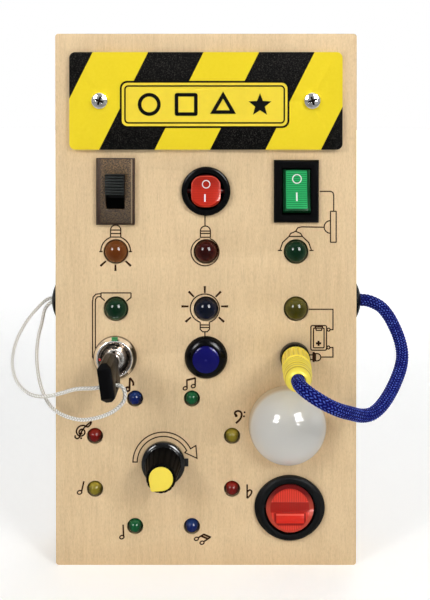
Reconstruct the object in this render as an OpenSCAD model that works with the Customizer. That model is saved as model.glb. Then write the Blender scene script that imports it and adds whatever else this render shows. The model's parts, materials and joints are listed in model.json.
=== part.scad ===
// Wooden busy board: a shallow plywood box with switches, lamps, a key lock, a knob and a tethered plug.
// Millimetres. Origin at the middle of the bottom face, +Z up, the front panel faces -Y, +X to its right.

/* [Box] */
// Width of the board
board_w = 141.4; // [138:0.2:160]
// Height of the board
board_h = 250; // [248:1:270]
// Depth of the closed box
box_d = 40; // [39:1:60]
// Thickness of the front panel
panel_t = 4; // [3:0.5:5]
// Thickness of the frame rails
rail_t = 7; // [5:0.5:7]
// Thickness of the back panel
back_t = 3; // [2:0.5:4]
// Corner radius of the panels
corner_r = 1.5; // [0.5:0.5:3]

/* [Layout] */
// Distance between the three columns of devices
column_gap = 42.3; // [41:0.1:43]
// Height of the switch row
switch_z = 176.2; // [175:0.2:178]
// Height of the upper row of large lights
led_row1_z = 147.8; // [146:0.2:149]
// Height of the lower row of large lights
led_row2_z = 120.9; // [120:0.1:123]
// Height of the key lock, push button and socket row
lock_z = 98; // [97:0.2:99]
// Knob centre, across
knob_x = -20; // [-20.5:0.1:-18]
// Knob centre, height
knob_z = 48.5; // [48:0.5:50]
// Half width of the oval ring of small lights
ring_rx = 34.9; // [33:0.1:35]
// Half height of the oval ring of small lights
ring_rz = 32.6; // [32:0.1:34]
// Lamp dome centre, across
lamp_x = 38.2; // [38:0.1:40]
// Lamp dome centre, height
lamp_z = 66.6; // [66:0.1:69]
// Large rocker centre, across
big_x = 39.3; // [38:0.1:40]
// Large rocker centre, height
big_z = 27.6; // [27:0.1:29]
// Height of the socket
socket_z = 98.2; // [98:0.1:100]
// Height of the side grommets
side_z = 122.5; // [121:0.5:123]
// Distance of the side grommets behind the front face
side_back = 15; // [14:0.5:16]

/* [Sign plate] */
// Width of the sign plate
sign_w = 127.4; // [110:0.5:130]
// Height of the sign plate
sign_h = 45.5; // [40:0.5:46]
// Thickness of the sign plate
sign_t = 3; // [2:0.5:4]
// Corner radius of the sign plate
sign_r = 2.8; // [1:0.1:5]
// Distance of its top edge below the top of the board
sign_drop = 8.8; // [5:0.2:9]
// Distance between the two sign screws
sign_screw_gap = 99; // [90:1:105]

/* [Slide switch] */
// Width of the slide switch bezel
slide_w = 18; // [16:0.5:20]
// Height of the slide switch bezel
slide_h = 31.2; // [30:0.2:32]
// Thickness of the slide switch bezel
slide_t = 3.4; // [3:0.2:4]
// Bevel round the bezel
slide_bevel = 0.9; // [0.4:0.1:1.5]
// Width of the bezel's opening
slide_open_w = 9; // [8:0.5:10]
// Height of the bezel's opening
slide_open_h = 16.4; // [15:0.1:17]
// Travel of the slider
slide_travel = 6.9; // [5:0.1:7.5]
// Depth of the case behind the face
slide_case_l = 12; // [11:0.5:15]

/* [Rocker switches] */
// Diameter of the round rocker's rim
round_d = 23; // [22:0.5:25]
// Diameter of the round rocker's paddle
round_paddle_d = 16.4; // [15:0.2:16.6]
// Width of the round rocker's paddle across its flats
round_paddle_w = 13.6; // [12:0.2:14]
// Width of the rectangular rocker's rim
rect_w = 21; // [20.5:0.5:23]
// Height of the rectangular rocker's rim
rect_h = 29.3; // [29:0.1:31]
// Width of the rectangular rocker's paddle
rect_paddle_w = 12.6; // [12:0.1:13]
// Length of the rectangular rocker's paddle
rect_paddle_h = 20.8; // [20:0.2:21]
// Width of the rectangular rocker's lens
rect_lens_w = 9.9; // [8:0.1:11]
// Width of the large rocker's oval rim
big_w = 33; // [32:0.2:34]
// Height of the large rocker's oval rim
big_h = 30; // [29.6:0.2:31]
// Diameter of the large rocker's paddle
big_paddle_d = 23; // [21:0.2:23.4]
// Swing of each paddle from one stop to the other, in degrees
rocker_swing = 18; // [14:1:20]
// Height of the rocker rims above the panel
rim_t = 2.6; // [2:0.1:3]

/* [Lights] */
// Diameter of a large light's dome
led_d = 10.6; // [10:0.1:11]
// Height of a large light above the panel
led_top = 4.6; // [4:0.1:5.5]
// Diameter of a small light's dome
small_led_d = 6.3; // [6:0.1:6.5]
// Height of a small light above the panel
small_led_top = 2.6; // [2:0.1:3]
// Gap round each light in its hole
led_gap = 0.5; // [0.3:0.1:0.7]
// Diameter of the lamp dome
lamp_d = 36.4; // [34:0.2:36.6]
// Wall of the lamp dome
lamp_wall = 1.6; // [1.2:0.1:2]
// Diameter of the lamp dome's neck
lamp_neck_d = 29; // [27:0.5:29]

/* [Key lock] */
// Diameter of the lock's bezel
lock_d = 20.4; // [20:0.2:22]
// Height of the lock's bezel
lock_t = 4; // [3:0.5:5]
// Diameter of the threaded barrel
barrel_d = 15.8; // [15:0.2:16]
// Diameter of the turning plug
lock_plug_d = 8.5; // [8:0.1:9]
// Lean of the key at rest, in degrees
key_lean = 8; // [0:1:10]
// Distance of the bow's outer end in front of the face
key_out = 41; // [38:0.5:42]
// Length of the bow along the lock's axis
bow_l = 26; // [24:0.5:28]
// Height of the bow
bow_h = 17; // [16:0.2:20]
// Thickness of the bow
bow_t = 6; // [5:0.1:7]
// Diameter of the string hole in the bow
bow_hole_d = 3.6; // [3:0.2:4]
// Diameter of the key's tubular shank
shank_d = 5.6; // [5:0.1:6]
// Diameter of the post in the middle of the keyway
keyway_post_d = 3; // [2.6:0.1:3.4]

/* [Push button] */
// Diameter of the push button's bezel
button_d = 20.4; // [20:0.2:22]
// Diameter of the cap
cap_d = 12.4; // [12:0.1:12.6]
// Height of the cap above the panel
cap_top = 6.4; // [5.5:0.1:8]
// Travel of the cap
cap_travel = 2.5; // [2:0.1:3]

/* [Plug and socket] */
// Diameter of the socket's rim
socket_d = 14; // [13.8:0.1:16]
// Height of the socket's rim
socket_rim_t = 6.2; // [6:0.1:6.5]
// Diameter of the plug's fluted collar
collar_d = 13.1; // [12.5:0.1:13.4]
// Distance of the plug's mouth in front of the face
plug_out = 44; // [43.5:0.1:44.5]
// Diameter of the plug's pin
pin_d = 4; // [3.5:0.1:4.5]
// Diameter of the blue cord
cord_d = 6; // [5.6:0.1:6]
// Diameter of the key string
string_d = 1.8; // [1.4:0.1:1.8]

/* [Knob] */
// Diameter of the knob's skirt
skirt_d = 20.4; // [19:0.2:21]
// Height of the knob above the panel
knob_top = 21.5; // [18:0.5:24]
// Diameter of the knob's body at the skirt
knob_base_d = 16.8; // [15:0.2:17.4]
// Diameter of the knob's body at its top
knob_head_d = 13.4; // [13:0.1:14]
// Diameter of the shaft
shaft_d = 6; // [5:0.5:6]

/* [Fits] */
// Gap between a turning or sliding piece and its bore
running_gap = 0.05; // [0.03:0.01:0.08]
// Gap between a body and its hole in the panel
mount_gap = 0.2; // [0.1:0.05:0.3]
// Gap round loosely guided pieces
guide_gap = 0.1; // [0.08:0.01:0.15]

/* [Hidden] */
$fn = 64;

// Frame and places
face_y = -box_d / 2;
back_depth = box_d - back_t;
sign_z = board_h - sign_drop - sign_h / 2;
left_x = -column_gap;
right_x = column_gap;
lock_x = -column_gap - 0.4;
socket_x = column_gap - 0.6;
small = 0.01;

// Lights and their boards
led_hole_d = led_d + 2 * led_gap;
small_hole_d = small_led_d + 1.3;
led_flange = 0.9;
led_flange_t = 1.5;
board_t = 1.6;
board_drop = 4.5;
board_depth = panel_t + board_drop + board_t;
leg_d = 0.6;
leg_gap = 2.54;
leg_tail = 1;
spacer_d = 5;
light_board_w = 2 * (column_gap + led_d / 2 + led_flange + spacer_d + 0.8);
light_board_h = led_row1_z - led_row2_z + 14;
light_board_z = (led_row1_z + led_row2_z) / 2;
ring_board_w = 2 * ring_rx * cos(22.5) + 2 * 5.2;
ring_board_bore = 22;
spacer_bore = 2.6;
board_screw_d = 2.4;
board_screw_l = 8.4;
board_screw_head_d = 4.6;
board_screw_head_t = 1.6;
light_screw_x = light_board_w / 2 - 3;
light_screw_z = light_board_h / 2 - 3;
ring_screw = ring_board_w / 2 - 4;

// Rocker construction
rocker_tilt = rocker_swing / 2;
pivot_depth = 0.4;
pivot_in = 0.6;
pivot_d = 2.6;
paddle_mid = 2.6;
paddle_foot = 3;
paddle_gap = 0.5;
recess_depth = 8;
rocker_case_l = 15;
lens_t = 1;
tab_w = 4.8;
tab_t = 0.8;
tab_l = 5;
round_case_d = 19.6;
rect_case_w = 18.4;
rect_case_h = 26.6;
big_case_d = 27.6;
big_rim_t = 3.2;
big_rim_edge = 1.2;
big_rim_slope = 2.3;
big_side_r = 13.2;
bar_w = 13;
bar_h = 4.3;
bar_t = 1.2;
bar_drop = 1.9;
pad_r = 8.5;
pad_low = 2.9;
pad_t = 0.8;

// Slide switch construction
slider_w = slide_open_w - 2 * guide_gap;
slider_h = slide_open_h - slide_travel - 2 * guide_gap;
slider_up = slide_travel / 2;
slider_top = 6.6;
slider_base_w = slide_open_w + 3;
slider_base_h = slider_h + 4;
slider_base_t = 2.4;
slider_ribs = 7;
slide_case_w = slider_base_w + 3;
slide_cavity_h = slider_base_h + slide_travel + 2 * guide_gap;
slide_case_h = slide_cavity_h + 2.4;

// Lock, key, button, socket
plug_top = 3;
plug_depth = 18;
tail_d = 6;
barrel_depth = 20;
block_d = 15;
block_depth = 27.6;
tail_depth = 25;
lock_notch_up = 6.5;
shank_depth = 12;
shank_in_bow = 8;
lug_w = 1.3;
lug_l = 2;
bow_chamfer = 2.2;
bow_bevel = 1.8;
bow_drop = 1.8;
bow_shoulder = 5;
bow_hole_drop = 5.3;
bow_hole_out = 31;
nut_t = 3;
nut_d = 21.5;
button_barrel_d = 15.8;
button_barrel_depth = 18;
button_floor = 6;
cap_base = 1.4;
cap_stem_d = 5;
cap_stem_depth = 12;
button_rim_t = 3.6;
spring_d = 8;
spring_wire = 0.7;
spring_turns = 3;
socket_barrel_d = 11.4;
socket_depth = 20;
socket_nut_d = 15.6;
plug_lean = 2.9;
plug_base = socket_rim_t + 0.45;
pin_depth = 14;
pin_in_plug = 14;
cord_seat = 30;
collar_top = 24;
neck_foot = 25.2;

// Knob construction
pot_d = 16.4;
pot_depth = 13;
bushing_d = 7.4;
bushing_top = 4;
pot_nut_d = 12;
pot_nut_t = 2;
pot_lug_x = 10.4;
pot_lug_w = 2.6;
pot_lug_h = 3.7;
skirt_base = 0.8;
skirt_t = 3.4;
knob_cap_t = 1.4;
knob_cap_d = 10.8;
pointer_angle = 218;
knob_flutes = 18;
flute_d = 1.5;
knob_lean = atan((knob_base_d - knob_head_d) / 2 / (knob_top - skirt_t));
shaft_top = 15;
shaft_foot = 3;

// Lamp construction
lamp_neck_depth = 10;
lamp_holder_d = 34;
lamp_floor_t = 1.6;
lamp_rise = 1.2;

// Side openings
side_hole_d = 8.4;
grommet_d = 17;
grommet_top = 4;
grommet_depth = rail_t + 1.5;
grommet_lip = 1.6;
grommet_dome_r = 17;
string_gap = 2;

// Batteries
cell_d = 14.4;
cell_l = 50;
cell_count = 3;
holder_wall = 1.4;
cell_pitch = cell_d + 0.6;
cell_bay_w = cell_count * cell_pitch + 0.6;
holder_w = cell_bay_w + 2 * holder_wall;
cell_nub = 1.2;
cell_bay_l = cell_l + cell_nub;
holder_h = cell_bay_l + 4;
holder_l = cell_d + holder_wall + 0.4;
holder_drop = 3.4;
holder_z = board_h - rail_t - holder_drop - holder_h / 2;
door_w = holder_w + 6;
door_h = holder_h + 11;
door_screw_up = 3.6;
door_t = back_t - 1;
back_screw_d = 3;
back_screw_l = 13;
back_screw_head_d = 5.8;
back_screw_head_t = 1.3;
back_screw_end = box_d - back_screw_head_t;
back_screw_inset = 3.5;
sign_screw_d = 3;
sign_screw_head_d = 7.4;
sign_screw_head_t = 2.4;
sign_screw_l = panel_t + sign_t + 3;
cross_w = 1;
cross_l = 4;
cross_depth = 1;

// Colours
wood = [0.87, 0.77, 0.6];
black = [0.09, 0.09, 0.1];
steel = [0.75, 0.75, 0.77];
yellow = [0.97, 0.86, 0.2];
red = [0.84, 0.18, 0.1];
green = [0.08, 0.6, 0.32];

// Routes of the two cords, in the frame of the whole object
blue_route = [[40.31, -50, 98.2], [39.96, -57, 98.2], [39.61, -64, 98.2], [40.1, -70.6, 98],
    [42.4, -75.8, 96.9], [46.4, -78.4, 94.7], [51.4, -77.6, 91.7], [56.4, -73.8, 88.7],
    [61.4, -68.2, 85.9], [66.9, -61.4, 82.9], [71.8, -56.4, 82], [76.2, -51, 83], [80.2, -45.4, 85.2],
    [83.8, -39.8, 88.1], [87, -34.2, 91.4], [89.7, -28.6, 94.7], [91.6, -23.2, 98],
    [92.3, -18.2, 101.6], [91.9, -13.4, 105.7], [90.5, -9.4, 110.1], [88.1, -6.6, 114.9],
    [84.5, -5.2, 119.1], [79.4, -5, 121.7], [74.8, -5, 122.4], [68, -5, 122.5], [60, -5, 122.5]];
string_route = [[-60, -5, 123.5], [-66, -5, 123.5], [-72, -5, 123.5], [-75, -5, 123.4],
    [-78.4, -5.4, 121.9], [-82.3, -6.8, 118], [-85.5, -8.4, 114.2], [-88.1, -10.4, 110],
    [-90, -13, 105.8], [-91, -16, 101.7], [-91.1, -19.4, 97.6], [-90.3, -23, 93.8],
    [-88.4, -26.8, 90.3], [-85.1, -31, 87.3], [-80.7, -35.4, 85.4], [-75.4, -39.4, 85],
    [-69.4, -42.8, 86.2], [-63.6, -45.6, 88.3], [-57, -48.6, 90.8], [-49.2, -50.9, 91.8],
    [-45.7, -51, 92.3], [-42, -51, 92.8], [-38.6, -51, 93.2], [-36.3, -51.7, 92.5],
    [-35.1, -52.6, 90.1], [-35.4, -52.8, 87.1], [-37.7, -51.6, 83.9], [-41, -49.4, 80.9],
    [-45.7, -47.2, 78.3], [-50.9, -44.8, 76.4], [-56.1, -42.2, 75.3], [-61.5, -39, 75.4],
    [-66.6, -35.2, 76.2], [-71.2, -30.8, 78], [-74.8, -26, 81.1], [-77.6, -21.2, 85.1],
    [-79.6, -16.8, 89.9], [-80.9, -13, 95.1], [-81.3, -10, 100.6], [-80.9, -7.8, 105.9],
    [-79.7, -6.6, 111], [-78.6, -5.6, 116.8], [-77.1, -5.1, 119.7], [-75, -5, 121.3], [-72, -5, 121.5],
    [-66, -5, 121.5], [-60, -5, 121.5]];

// ---------- shared shapes ----------

// Puts children drawn on the front face, with z outwards, at a place on the panel
module on_face(x = 0, z = 0) translate([x, face_y, z]) rotate([90, 0, 0]) children();

// A cylinder along z from one height to another
module post(low, high, d) translate([0, 0, low]) cylinder(h = high - low, d = d);

module rounded(w, h, r) {
    square([w - 2 * r, h], center = true);
    square([w, h - 2 * r], center = true);
    for (x = [-1, 1], y = [-1, 1]) translate([x * (w / 2 - r), y * (h / 2 - r)]) circle(r = r);
}

module slab(low, high, w, h, r) translate([0, 0, low]) linear_extrude(high - low) rounded(w, h, r);

module block(low, high, w, h) translate([-w / 2, -h / 2, low]) cube([w, h, high - low]);

// A block whose four sides lean in towards its top
module bevelled(w, h, t, bevel) intersection() {
    rotate([90, 0, 0]) linear_extrude(h, center = true)
        polygon([[-w / 2, 0], [w / 2, 0], [w / 2, t - bevel], [w / 2 - bevel, t], [bevel - w / 2, t],
            [-w / 2, t - bevel]]);
    rotate([90, 0, 90]) linear_extrude(w, center = true)
        polygon([[-h / 2, 0], [h / 2, 0], [h / 2, t - bevel], [h / 2 - bevel, t], [bevel - h / 2, t],
            [-h / 2, t - bevel]]);
}

module ring_of(low, high, outer_d, inner_d) difference() {
    post(low, high, outer_d);
    post(low - small, high + small, inner_d);
}

module hex_nut(low, t, d, bore) translate([0, 0, low]) difference() {
    cylinder(h = t, d = d, $fn = 6);
    translate([0, 0, -small]) cylinder(h = t + 2 * small, d = bore);
}

// A screw pointing down from z = 0, the underside of its head, with a cross recess
module screw(d, length, head_d, head_t) difference() {
    union() {
        post(-length, 0, d);
        rotate_extrude() intersection() {
            translate([0, head_t - head_d]) circle(r = head_d);
            square([head_d / 2, head_t]);
        }
    }
    for (turn = [0, 90]) rotate([0, 0, turn]) block(head_t - cross_depth, head_t + 1, cross_l, cross_w);
}

// Tube along points: each ring stands across the route there
function unit(v) = v / norm(v);
function along(p, i) = unit(p[min(i + 1, len(p) - 1)] - p[max(i - 1, 0)]);
function carried(v, t) = unit(v - (v * t) * t);
function frames(p, i, side) = i == len(p) ? [] :
    let (s = carried(side, along(p, i))) concat([s], frames(p, i + 1, s));
module tube(p, d, sides, start_side) {
    side = frames(p, 0, start_side);
    rings = [for (i = [0:len(p) - 1]) let (t = along(p, i), u = side[i], v = cross(t, u))
        for (k = [0:sides - 1]) p[i] + d / 2 * (cos(360 * k / sides) * u + sin(360 * k / sides) * v)];
    walls = [for (i = [0:len(p) - 2], k = [0:sides - 1])
        let (a = i * sides, b = a + sides, n = (k + 1) % sides) [a + k, b + k, b + n, a + n]];
    last = (len(p) - 1) * sides;
    polyhedron(rings, concat(walls, [[for (k = [0:sides - 1]) k]], [[for (k = [sides - 1:-1:0]) last + k]]),
        convexity = 10);
}

// ---------- the wooden box ----------

module panel_holes() {
    on_face(left_x, switch_z) block(-panel_t - 1, 1, slide_case_w + mount_gap, slide_case_h + mount_gap);
    on_face(0, switch_z) post(-panel_t - 1, 1, round_case_d + 2 * mount_gap);
    on_face(right_x, switch_z)
        block(-panel_t - 1, 1, rect_case_w + 2 * mount_gap, rect_case_h + 2 * mount_gap);
    on_face(big_x, big_z) post(-panel_t - 1, 1, big_case_d + 2 * mount_gap);
    for (x = [left_x, 0, right_x], z = [led_row1_z, led_row2_z]) on_face(x, z)
        post(-panel_t - 1, 1, led_hole_d);
    ring_places([0:7]) post(-panel_t - 1, 1, small_hole_d);
    on_face(lock_x, lock_z) post(-panel_t - 1, 1, barrel_d + 2 * mount_gap);
    on_face(0, lock_z) post(-panel_t - 1, 1, button_barrel_d + 2 * mount_gap);
    on_face(socket_x, socket_z) post(-panel_t - 1, 1, socket_barrel_d + 2 * mount_gap);
    on_face(knob_x, knob_z) {
        post(-panel_t - 1, 1, bushing_d + 2 * mount_gap);
        translate([pot_lug_x, 0, 0]) block(-panel_t - 1, 1, pot_lug_w, pot_lug_h);
    }
    on_face(lamp_x, lamp_z) post(-panel_t - 1, 1, lamp_neck_d + 2 * mount_gap);
    for (x = [-1, 1]) on_face(x * sign_screw_gap / 2, sign_z) post(-panel_t - 1, 1, sign_screw_d);
}

module front_panel() color(wood) difference() {
    on_face(0, board_h / 2) slab(-panel_t, 0, board_w, board_h, corner_r);
    panel_holes();
    on_face() board_screw_places()
        post(-panel_t - small, board_screw_l - board_depth, board_screw_d);
}

module side_rail(side) color(wood) difference() {
    on_face(side * (board_w - rail_t) / 2, board_h / 2) block(-back_depth, -panel_t, rail_t, board_h);
    translate([side * board_w / 2, face_y + side_back, side_z]) rotate([0, 90, 0])
        cylinder(h = 4 * rail_t, d = side_hole_d, center = true);
    on_face() back_screw_places() post(-back_depth - 1, back_screw_l - back_screw_end, back_screw_d);
}
module left_rail() side_rail(-1);
module right_rail() side_rail(1);

module cross_rail(z) color(wood) on_face(0, z)
    block(-back_depth, -panel_t, board_w - 2 * rail_t, rail_t);
module top_rail() cross_rail(board_h - rail_t / 2);
module bottom_rail() cross_rail(rail_t / 2);

module back_screw_places() for (x = [-1, 1], z = [12, board_h / 2, board_h - 12])
    translate([x * (board_w / 2 - back_screw_inset), z, 0]) children();

module door_screw_place() translate([0, holder_z - door_h / 2 + door_screw_up, 0]) children();

module back_panel() color(wood) difference() {
    on_face(0, board_h / 2) slab(-box_d, -back_depth, board_w, board_h, corner_r);
    on_face(0, holder_z) {
        block(-box_d - 1, -back_depth + 1, cell_bay_w, cell_bay_l);
        block(-box_d - 1, door_t - box_d, door_w + 2 * guide_gap, door_h + 2 * guide_gap);
    }
    on_face() {
        back_screw_places() screw_seat();
        door_screw_place() screw_seat();
    }
}

// The hole and the counterbore that a back screw sits in
module screw_seat() {
    post(-box_d - 1, 1 - back_depth, back_screw_d);
    post(-box_d - 1, -back_screw_end, back_screw_head_d + 2 * guide_gap);
}

module battery_door() color(black) difference() {
    on_face(0, holder_z) block(-box_d, door_t - box_d, door_w, door_h);
    on_face() door_screw_place() screw_seat();
}

module back_screws() color(steel) on_face() {
    back_screw_places() translate([0, 0, -back_screw_end]) rotate([180, 0, 0])
        screw(back_screw_d, back_screw_l, back_screw_head_d, back_screw_head_t);
    door_screw_place() translate([0, 0, -back_screw_end]) rotate([180, 0, 0])
        screw(back_screw_d, back_screw_end - back_depth, back_screw_head_d, back_screw_head_t);
}

module battery_holder() color(black) on_face(0, holder_z) difference() {
    block(-back_depth, holder_l - back_depth, holder_w, holder_h);
    block(-back_depth - 1, holder_l - holder_wall - back_depth, cell_bay_w, cell_bay_l);
}

module batteries() color("goldenrod") on_face(0, holder_z) for (i = [0:cell_count - 1])
    translate([(i - (cell_count - 1) / 2) * cell_pitch, 0, cell_d / 2 + 0.2 - back_depth])
    rotate([90, 0, 0]) {
        post(-cell_bay_l / 2, cell_bay_l / 2 - cell_nub, cell_d);
        post(cell_bay_l / 2 - cell_nub - small, cell_bay_l / 2, 5.4);
    }

// ---------- the sign ----------

module sign_plate() color(yellow) difference() {
    on_face(0, sign_z) slab(0, sign_t, sign_w, sign_h, sign_r);
    for (x = [-1, 1]) on_face(x * sign_screw_gap / 2, sign_z) post(-1, sign_t + 1, sign_screw_d);
}

module sign_screws() color(steel) for (x = [-1, 1]) on_face(x * sign_screw_gap / 2, sign_z)
    translate([0, 0, sign_t]) rotate([0, 0, 18 * x])
        screw(sign_screw_d, sign_screw_l, sign_screw_head_d, sign_screw_head_t);

// ---------- slide switch ----------

module slide_switch_bezel() color([0.24, 0.21, 0.2]) on_face(left_x, switch_z) difference() {
    bevelled(slide_w, slide_h, slide_t, slide_bevel);
    block(-1, slide_t + 1, slide_open_w, slide_open_h);
}

module slide_switch_case() color(black) on_face(left_x, switch_z) difference() {
    block(-slide_case_l, 0, slide_case_w, slide_case_h);
    block(1.5 - slide_case_l, 1, slider_base_w + 2 * guide_gap, slide_cavity_h);
}

module slide_switch_slider() color(black) on_face(left_x, switch_z) translate([0, slider_up, 0]) {
    difference() {
        block(-guide_gap - slider_base_t, slider_top, slider_w, slider_h);
        for (i = [0:slider_ribs - 1])
            translate([0, (i - (slider_ribs - 1) / 2) * slider_h / slider_ribs, slider_top])
                rotate([45, 0, 0]) cube([slider_w + 1, 0.7, 0.7], center = true);
    }
    block(-guide_gap - slider_base_t, -guide_gap, slider_base_w, slider_base_h);
}

// ---------- rocker switches ----------

// Paddle in its middle position: two faces that rise to both ends, and a foot
module paddle_form(length, w) rotate([90, 0, 90]) linear_extrude(w, center = true)
    polygon([[0, paddle_mid], [length / 2 + 1, paddle_mid + (length / 2 + 1) * tan(rocker_tilt)],
        [length / 2 + 1, -1], [3, -paddle_foot], [-3, -paddle_foot], [-length / 2 - 1, -1],
        [-length / 2 - 1, paddle_mid + (length / 2 + 1) * tan(rocker_tilt)]]);

// Pivot pin of a paddle, or with a gap the bore that it turns in
module pivot(paddle_w, gap = 0) rotate([0, 90, 0])
    cylinder(h = paddle_w + 2 * (paddle_gap + pivot_in + gap), d = pivot_d + 2 * gap, center = true);

// A paddle at rest has its top end pressed in
module at_rest() translate([0, 0, -pivot_depth]) rotate([-rocker_tilt, 0, 0]) children();

module round_rocker_body() color(black) on_face(0, switch_z) difference() {
    union() {
        rotate_extrude() {
            square([round_d / 2 - 1.2, rim_t]);
            square([round_d / 2, rim_t - 1.2]);
            translate([round_d / 2 - 1.2, rim_t - 1.2]) circle(r = 1.2);
        }
        post(-rocker_case_l, 0, round_case_d);
    }
    post(-recess_depth, rim_t + 1, round_paddle_d + 2 * paddle_gap);
    translate([0, 0, -pivot_depth]) pivot(round_paddle_d, running_gap);
}

module round_rocker_paddle() color(red) on_face(0, switch_z) at_rest() {
    intersection() {
        paddle_form(round_paddle_d, round_paddle_w);
        sphere(d = round_paddle_d);
    }
    pivot(round_paddle_d);
}

module rect_rocker_body() color(black) on_face(right_x, switch_z) difference() {
    union() {
        bevelled(rect_w, rect_h, rim_t, 0.8);
        block(-rocker_case_l, 0, rect_case_w, rect_case_h);
    }
    block(-recess_depth, rim_t + 1, rect_paddle_w + 2 * paddle_gap, rect_paddle_h + 2 * paddle_gap);
    translate([0, 0, -pivot_depth]) pivot(rect_paddle_w, running_gap);
}

module rect_paddle_form() intersection() {
    paddle_form(rect_paddle_h, rect_paddle_w);
    rotate([0, 90, 0]) cylinder(h = rect_paddle_w + 2, d = rect_paddle_h, center = true);
}

module lens_cut() rotate([90, 0, 90]) linear_extrude(rect_lens_w, center = true) {
    low = paddle_mid - lens_t;
    rise = rect_paddle_h * tan(rocker_tilt);
    polygon([[0, low], [rect_paddle_h, low + rise], [rect_paddle_h, 20], [-rect_paddle_h, 20],
        [-rect_paddle_h, low + rise]]);
}

module rect_rocker_paddle() color([0.02, 0.2, 0.1]) on_face(right_x, switch_z) at_rest() {
    difference() {
        rect_paddle_form();
        lens_cut();
    }
    pivot(rect_paddle_w);
}

module rect_rocker_lens() color(green) on_face(right_x, switch_z) at_rest() intersection() {
    rect_paddle_form();
    lens_cut();
}

// Oval drawn with four arcs that meet smoothly: side_r is the radius of its two ends
module oval(w, h, side_r) {
    shift = w / 2 - side_r;
    cap_shift = (shift * shift - (h / 2 - side_r) * (h / 2 - side_r)) / (h - 2 * side_r);
    cap_r = h / 2 + cap_shift;
    meet_x = cap_r * shift / (cap_r - side_r);
    for (x = [-1, 1]) translate([x * shift, 0]) circle(r = side_r);
    intersection() {
        translate([0, -cap_shift]) circle(r = cap_r);
        translate([0, cap_shift]) circle(r = cap_r);
        square([2 * meet_x, 2 * h], center = true);
    }
}

module big_rocker_body() color(black) on_face(big_x, big_z) difference() {
    union() {
        intersection() {
            linear_extrude(big_rim_t) oval(big_w, big_h, big_side_r);
            rotate_extrude() polygon([[0, 0], [big_w / 2 + 1, 0], [big_w / 2 + 1, big_rim_edge],
                [big_w / 2, big_rim_edge], [big_w / 2 - big_rim_slope, big_rim_t], [0, big_rim_t]]);
        }
        post(-rocker_case_l, 0, big_case_d);
    }
    post(-recess_depth, big_rim_t + 1, big_paddle_d + 2 * paddle_gap);
    translate([0, 0, -pivot_depth]) pivot(big_paddle_d, running_gap);
}

module big_rocker_paddle() color(red) on_face(big_x, big_z) at_rest() {
    intersection() {
        union() {
            paddle_form(big_paddle_d, big_paddle_d);
            translate([0, -bar_h / 2 - bar_drop, paddle_mid]) block(-1, bar_t, bar_w, bar_h);
            translate([0, 0, paddle_mid]) rotate([rocker_tilt, 0, 0]) intersection() {
                post(-1, pad_t, 2 * pad_r);
                translate([0, pad_low + pad_r, 0]) block(-2, 2, 2 * pad_r, 2 * pad_r);
            }
        }
        sphere(d = big_paddle_d);
    }
    pivot(big_paddle_d);
}

// Brass tabs behind the switches, the lock and the button
module tab_pair(depth, gap, turn = 0) rotate([0, 0, turn]) for (y = [-1, 1])
    translate([0, y * gap / 2, 0]) block(-depth - tab_l, -depth, tab_w, tab_t);

module switch_terminals() color([0.8, 0.65, 0.3]) {
    on_face(left_x, switch_z) tab_pair(slide_case_l, 9);
    on_face(0, switch_z) tab_pair(rocker_case_l, 8);
    on_face(right_x, switch_z) tab_pair(rocker_case_l, 12);
    on_face(big_x, big_z) tab_pair(rocker_case_l, 12);
    on_face(lock_x, lock_z) tab_pair(block_depth, 7);
    on_face(0, lock_z) tab_pair(button_barrel_depth, 7);
}

// ---------- lights ----------

module light(d, top) {
    post(-panel_t, top - d / 2, d);
    translate([0, 0, top - d / 2]) sphere(d = d);
    post(-panel_t - led_flange_t, -panel_t, d + 2 * led_flange);
    for (x = [-1, 1]) translate([x * leg_gap / 2, 0, 0])
        post(-board_depth - leg_tail, -panel_t - led_flange_t, leg_d);
}

module large_light(x, z) on_face(x, z) light(led_d, led_top);
module orange_light() color([0.55, 0.22, 0.02]) large_light(left_x, led_row1_z);
module red_light() color([0.35, 0.02, 0.02]) large_light(0, led_row1_z);
module green_lights() color([0.02, 0.25, 0.12]) {
    large_light(right_x, led_row1_z);
    large_light(left_x, led_row2_z);
}
module blue_light() color([0.03, 0.06, 0.2]) large_light(0, led_row2_z);
module olive_light() color([0.35, 0.32, 0.03]) large_light(right_x, led_row2_z);

// Eight places on an oval round the knob, clockwise from the top right one
module ring_places(steps) for (k = steps)
    on_face(knob_x + ring_rx * cos(67.5 - 45 * k), knob_z + ring_rz * sin(67.5 - 45 * k)) children();
module small_lights(steps) ring_places(steps) light(small_led_d, small_led_top);
module small_green_lights() color([0.02, 0.25, 0.12]) small_lights([0, 4]);
module small_olive_lights() color([0.35, 0.32, 0.03]) small_lights([1, 5]);
module small_red_lights() color([0.35, 0.02, 0.02]) small_lights([2, 6]);
module small_blue_lights() color([0.03, 0.06, 0.2]) small_lights([3, 7]);

module board_screw_places() {
    for (x = [-1, 1], z = [-1, 1]) {
        translate([x * light_screw_x, light_board_z + z * light_screw_z, 0]) children();
        translate([knob_x + x * ring_screw, knob_z + z * ring_screw, 0]) children();
    }
}

module leg_holes(low, high) for (x = [-1, 1]) translate([x * leg_gap / 2, 0, 0]) post(low, high, leg_d);

module light_board() color([0.1, 0.35, 0.15]) difference() {
    on_face(0, light_board_z)
        slab(-board_depth, -panel_t - board_drop, light_board_w, light_board_h, 1);
    for (x = [left_x, 0, right_x], z = [led_row1_z, led_row2_z]) on_face(x, z) leg_holes(-20, 0);
    on_face() board_screw_places() post(-20, 0, board_screw_d);
}

module ring_board() color([0.1, 0.35, 0.15]) difference() {
    on_face(knob_x, knob_z)
        slab(-board_depth, -panel_t - board_drop, ring_board_w, ring_board_w, 1);
    on_face(knob_x, knob_z) post(-20, 0, ring_board_bore);
    ring_places([0:7]) leg_holes(-20, 0);
    on_face() board_screw_places() post(-20, 0, board_screw_d);
}

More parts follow.
